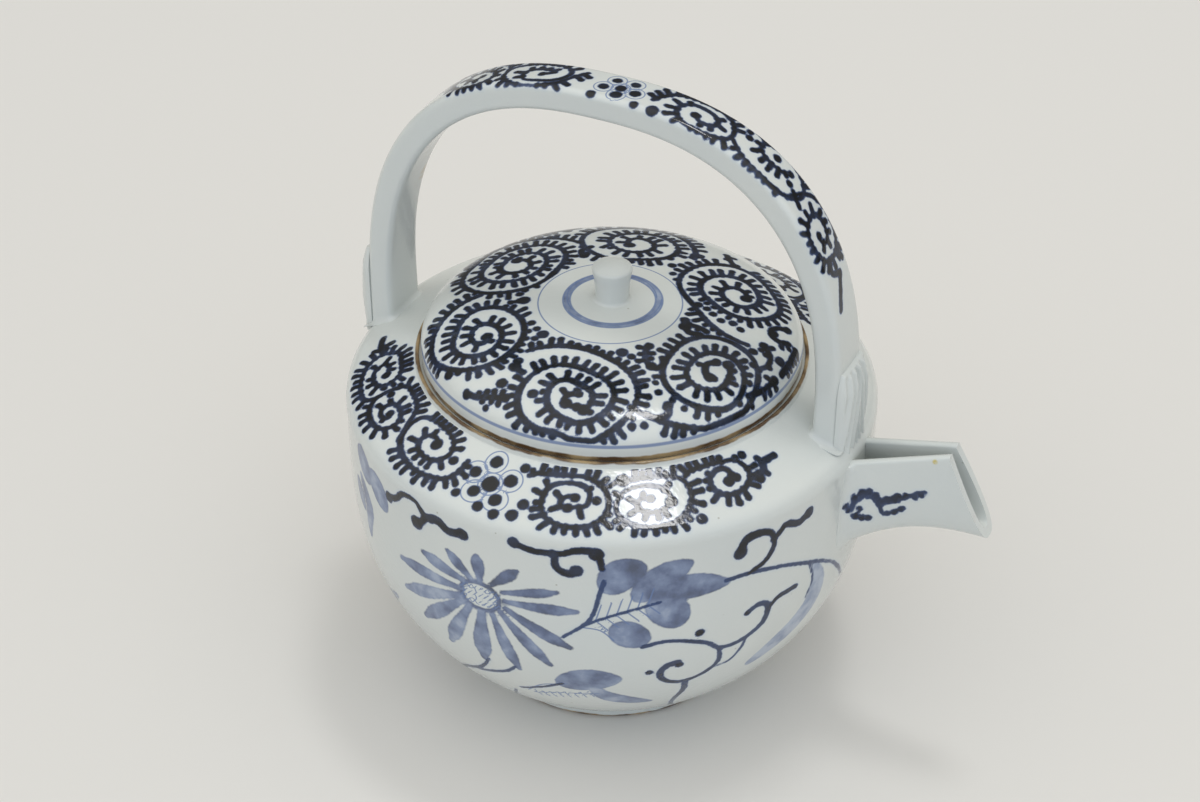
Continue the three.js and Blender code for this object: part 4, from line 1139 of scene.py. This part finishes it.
# Octopus scrolls on the lid
# Six large scrolls turn round a plain middle with two blue rings, and a third ring follows the edge.
# Each: centre, start angle and step in degrees, and the stem's distance from the centre at each step.
LID_SCROLLS = (
    ((10, -47), 150, -60, (25, 19.3, 19.4, 14.9, 11.3, 16.6, 15.2, 11.1, 12.3, 9.8, 7.4, 7.9, 8, 5.1, 5.9, 5.6)),
    ((-29, -32), 120, 60, (22.5, 17, 15, 14.3, 13.1, 13.5, 14.6, 9.3, 9.5, 8.8, 6.7, 5.8, 5.9, 3.7, 3.4, 3.6, 1.8)),
    ((42, -17), 240, 60, (30, 17.6, 13.6, 15, 15.3, 13.8, 16.2, 14, 10.3, 9.3, 7.7, 6.8, 8.8, 7.5, 5.3, 6)),
    ((33, 23), -60, -60, (26, 16.9, 19.8, 19.3, 13.1, 13.8, 12.6, 10.4, 12.7, 11.4, 7.6, 6.8, 6.4, 5.2, 5.3, 4.3, 3, 2.8)),
    ((-38, 8), 60, 60, (24, 19, 14.8, 19.4, 17.2, 14.3, 16.7, 12.5, 9.8, 12.7, 10.7, 9.4, 9.8, 6.8, 4.7, 6.2, 5.7, 4.9,
                        3.8, 2.8)),
    ((-9, 36), 0, 60, (21, 16.6, 15.3, 18.3, 15.5, 12.2, 14.5, 11.3, 9, 9.2, 7.5, 6.8, 6.6, 5, 4.2, 2.8, 2.5)))
LID_HOOKS = (
    ((12.6, -49.7), (10, -50), (8, -49.2), (8, -47.4), (9.4, -45.8), (11.2, -45.4)),
    ((41.5, -13), (39.6, -15.2), (40, -18), (42, -20.2), (43.8, -19.8)),
    ((52, 17.5), (50, 16), (48.6, 13), (50, 10.4), (53, 10), (55, 12)),
    ((21, -17.5), (21.4, -21), (24, -24.6), (27, -25.6), (28.4, -23), (27, -20.5)),
    ((25, 0), (26.2, -3), (29, -5), (32, -4)), ((26.5, -1.5), (30, -1), (33, -1.6)),
    ((-12.4, -39.6), (-11.6, -42.4), (-8.8, -43.4)),
    ((-9.5, -53.5), (-13.5, -54), (-17, -54.4), (-20.5, -54.2), (-23, -53.4)),
    ((36.4, -36.8), (37.6, -39.6), (35.2, -42.2), (32, -43)),
    ((12.6, 39), (11, 36.6)), ((-26, -12.4), (-28.5, -14)), ((50, 4), (53.4, 1), (54.4, -3), (53, -7)),
    ((-20, 20), (-22.4, 23.4), (-21, 27)), ((24, 41), (21.4, 43.4), (18.6, 47)), ((-44, 32), (-39, 37), (-33, 42)),
    ((58, -6), (57, -12), (54.6, -18)), ((57.6, 12), (58.4, 4), (58.6, -2)))
LID_DOTS = (
    (15, -24, 1.9), (-11, -26, 1.9), (-14, -24.2, 1.2), (-12.4, -28.6, 1.2), (-25, -11.8, 2.1), (-27.6, -6.4, 1.4),
    (-32, -48, 1.7), (-29, -47.4, 1.3), (-13, -49, 1.8), (-14.4, -57, 1.1), (-22.4, -54, 1.5), (-2, -50, 1.7),
    (-12.2, -42, 2), (25.6, -25.4, 1.8), (26.4, -3, 2), (49.8, 11.8, 1.8), (52.2, 18, 1.6), (11.4, 38.6, 2),
    (30, -48.2, 1.3), (33, -46, 1.2), (36.5, -37.5, 1.5), (41, -35, 1.1), (32, -34, 1.2), (29.6, -31, 1),
    (56.3, 2, 1.8), (55, -3.5, 1.1), (24.5, 41.5, 1.3), (20, 43.6, 1.1), (-20, 21.5, 1.6), (-23.5, 26, 1.2),
    (8, 27.5, 1.5), (10.5, 22.5, 1.2), (5.5, 31.4, 1.2), (-40, 33, 1.2), (-35, 38, 1.4), (-27.6, 46.6, 1.3),
    (42.5, -20, 1.9), (9, -49.8, 1.9), (40.6, -14, 1.2),
    (48.5, -1, 1.5), (51, -6.4, 1.4), (-28, -9, 1.3), (-17, -22, 1.3), (18.4, -24.4, 1.3), (25, 10, 1.5),
    (28.2, 9.6, 1.3), (31, 8, 1.3), (34.4, 6.4, 1.3), (38, 7.4, 1.4), (41.2, 6, 1.3))
LID_RING_CENTRE = np.array([0.1, -1.6])
LID_BAND_CENTRE = np.array([0.5, -0.6])
LID_LINE_R = 22.6
LID_BAND_INNER = 13.4
LID_BAND_OUTER = 15.6
LID_EDGE_LINE_R = 60.32


# The chart is flat, so distances from its centre are stretched to run along the curved face.
def along_dome(places):
    places = np.asarray(places, float)
    out = np.maximum(np.linalg.norm(places, axis=-1), 1e-6)
    return places * (np.interp(out, dome[:, 0], dome_run) / out)[..., None]


def on_lid(x, y):
    out = np.maximum(np.hypot(x, y), 1e-6)
    radius = np.interp(out, dome_run, dome[:, 0])
    return np.stack([x / out * radius, y / out * radius, np.interp(out, dome_run, dome[:, 1])], -1)


LID_LIMIT = float(np.interp(LID_EDGE_LINE_R, dome[:, 0], dome_run)) - 1.7


def lid_ground(tips):
    from_rings = np.linalg.norm(tips - along_dome(LID_RING_CENTRE), axis=1)
    return (np.linalg.norm(tips, axis=1) < LID_LIMIT) & (from_rings > 24.8)


lid_stems = []
for centre, start, step, radii in LID_SCROLLS:
    reach = flowing(radii)[:, 0]
    turn = np.radians(start + step * np.linspace(0, len(radii) - 1, len(reach)))
    path = along_dome(np.array(centre) + np.stack([reach * np.cos(turn), reach * np.sin(turn)], -1))
    out = np.linalg.norm(path, axis=1)
    lid_stems.append((path * np.minimum(1, LID_LIMIT / out)[:, None], along_dome(centre)))
lid_hooks = [along_dome(flowing(hook)) for hook in LID_HOOKS]
lid_dots = [(along_dome((x, y)), size) for x, y, size in LID_DOTS]
taken = [(place[None], size) for place, size in lid_dots]
taken += [(hook, STEM) for hook in lid_hooks]
taken += [(path, STEM) for path, centre in lid_stems]
lid_marks = []
for path, centre in lid_stems:
    others = [entry for entry in taken if entry[0] is not path]
    lid_marks += [stem(path, 0.95), dot(path[-1], 1.95)]
    grown = arms(evenly(path, 0.6), centre, others, lid_ground)
    lid_marks += grown
    taken += [(entry[1][-1:], ARM_TIP) for entry in grown]
for hook in lid_hooks:
    lid_marks += [stem(hook, 1.05, 0.95), dot(hook[0], 1.6), dot(hook[-1], 1.2)]
    for side in (-9, 9):
        across_hook = hook[len(hook) // 2] + side * np.array([0.3, 0.95])
        others = [entry for entry in taken if entry[0] is not hook]
        grown = arms(evenly(hook, 0.6), across_hook, others, lid_ground, 2.6)
        lid_marks += grown
        taken += [(entry[1][-1:], ARM_TIP) for entry in grown]
lid_marks += [dot(place, size) for place, size in lid_dots]
around = np.linspace(0, 2 * math.pi, 181)
circle = np.stack([np.cos(around), np.sin(around)], -1)
lid_marks.append(mark("line", along_dome(LID_RING_CENTRE + circle * LID_LINE_R), 0.26, 0.5))
for radius in (LID_BAND_INNER, LID_BAND_OUTER):
    lid_marks.append(mark("line", along_dome(LID_BAND_CENTRE + circle * radius), 0.32, 0.5))
band = (LID_BAND_INNER + LID_BAND_OUTER) / 2
band_half = (LID_BAND_OUTER - LID_BAND_INNER) / 2
lid_marks.append(mark("wash", along_dome(LID_BAND_CENTRE + circle * band), band_half, 0.42))
lid_marks.append(mark("line", along_dome(circle * LID_EDGE_LINE_R), 0.62, 0.5))
paint(lid, laid(lid_marks, on_lid))

# Lid flange
# A ring luted under the lid that keeps it in the neck; it is left bare and slightly toasted.
FLANGE_LOW_Z = 111.9
flange_outline = [
    (FLANGE_INNER_R, LID_SEAT_Z), *arc(FLANGE_INNER_R + 1.2, FLANGE_LOW_Z + 1.2, 1.2, 180, 270, 4),
    *arc(FLANGE_OUTER_R - 1.2, FLANGE_LOW_Z + 1.2, 1.2, 270, 360, 4), (FLANGE_OUTER_R, LID_SEAT_Z)]
flange_points, flange_numbers = spun(flange_outline, 300)
lid_flange = fired("bare_lid_flange", flange_points, skin(flange_numbers), bare_clay)
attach(lid_flange, "lid")
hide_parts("lid_flange")

# Lid knob
# A small turned drum that widens to its top, luted to the middle of the lid and glazed white.
KNOB_SEAT_Z = float(np.interp(6.4, dome[:, 0], dome[:, 1])) + LID_INSET
KNOB_BASE_R = 6.4
KNOB_WAIST_R = 5.4
KNOB_TOP_R = 6.35
KNOB_HEIGHT = 12.8
KNOB_CROWN = 1.1
KNOB_ROUND = 1.1
knob_top_z = KNOB_SEAT_Z + KNOB_HEIGHT
knob_foot = arc(KNOB_BASE_R + 0.1, KNOB_SEAT_Z + 1.1, 1.15, 262, 180, 7)
knob_rim = arc(KNOB_TOP_R - KNOB_ROUND, knob_top_z - KNOB_CROWN - KNOB_ROUND, KNOB_ROUND, 0, 72, 7)
crown_r = np.linspace(knob_rim[-1][0], 0, 7)[1:]
crown_z = knob_top_z - (knob_top_z - knob_rim[-1][1]) * (crown_r / knob_rim[-1][0]) ** 2
knob_outline = np.vstack([
    [(0, KNOB_SEAT_Z - 0.3), (KNOB_BASE_R - 0.3, KNOB_SEAT_Z - 0.3)], knob_foot,
    [(KNOB_WAIST_R + 0.1, KNOB_SEAT_Z + 4.5), (KNOB_WAIST_R + 0.45, KNOB_SEAT_Z + 8)],
    knob_rim, np.stack([crown_r, crown_z], -1)])
knob_points, knob_numbers = spun(knob_outline, 120)
lid_knob = fired("glazed_lid_knob", knob_points, skin(knob_numbers, loop_second=False), plain_glaze)
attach(lid_knob, "lid")
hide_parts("lid_knob")

# Floor and light
# A plain pale table in soft daylight from overhead, with one small ceiling window that the glaze mirrors.
floor_mesh = bpy.data.meshes.new("floor")
floor_mesh.from_pydata([(-3, -3, 0), (3, -3, 0), (3, 3, 0), (-3, 3, 0)], [], [(0, 1, 2, 3)])
floor = bpy.data.objects.new("floor", floor_mesh)
scene.collection.objects.link(floor)
floor_material = bpy.data.materials.new("pale_table")
floor_material.use_nodes = True
floor_material.node_tree.nodes["Principled BSDF"].inputs["Base Color"].default_value = srgb("E2E0DC")
floor_material.node_tree.nodes["Principled BSDF"].inputs["Roughness"].default_value = 0.9
floor_mesh.materials.append(floor_material)

# The room is brightest above the pot and a little in front, bluer in front, and dim low down all round.
ROOM_BRIGHT_SIDE = (0.14, -0.42, 0.9)
ROOM_FRONT = (0.44, -0.9, 0)
world = bpy.data.worlds.new("room")
world.use_nodes = True
room = world.node_tree
direction = node(room, "ShaderNodeTexCoord").outputs["Generated"]
toward = node(room, "ShaderNodeVectorMath", {"operation": "DOT_PRODUCT"}, {0: direction, 1: ROOM_BRIGHT_SIDE})
level = node(room, "ShaderNodeMapRange", {"interpolation_type": "SMOOTHSTEP"}, {
    "Value": toward.outputs["Value"], "From Min": 0.0, "From Max": 0.88, "To Min": 0.24, "To Max": 1.28})
facing_front = node(room, "ShaderNodeVectorMath", {"operation": "DOT_PRODUCT"}, {0: direction, 1: ROOM_FRONT})
blue_share = node(room, "ShaderNodeMapRange", {"interpolation_type": "SMOOTHSTEP"}, {
    "Value": facing_front.outputs["Value"], "From Min": 0.2, "From Max": 1, "To Min": 0, "To Max": 1})
air = node(room, "ShaderNodeMix", {"data_type": "RGBA"}, {
    "Factor": blue_share.outputs["Result"], "A": srgb("F4F2EC"), "B": srgb("DDE8F8")}).outputs["Result"]
room.links.new(air, room.nodes["Background"].inputs["Color"])
room.links.new(level.outputs["Result"], room.nodes["Background"].inputs["Strength"])
scene.world = world


def area_lamp(name, place, aim, size, power):
    data = bpy.data.lights.new(name, "AREA")
    data.shape = "RECTANGLE"
    data.size, data.size_y = size
    data.energy = power
    lamp = bpy.data.objects.new(name, data)
    lamp.location = place
    lamp.rotation_euler = (Vector(aim) - Vector(place)).to_track_quat("-Z", "Y").to_euler()
    scene.collection.objects.link(lamp)
    return lamp


area_lamp("ceiling_window", (0.084, 0.201, 1.58), (0, 0, 0.11), (0.32, 0.2), 3)
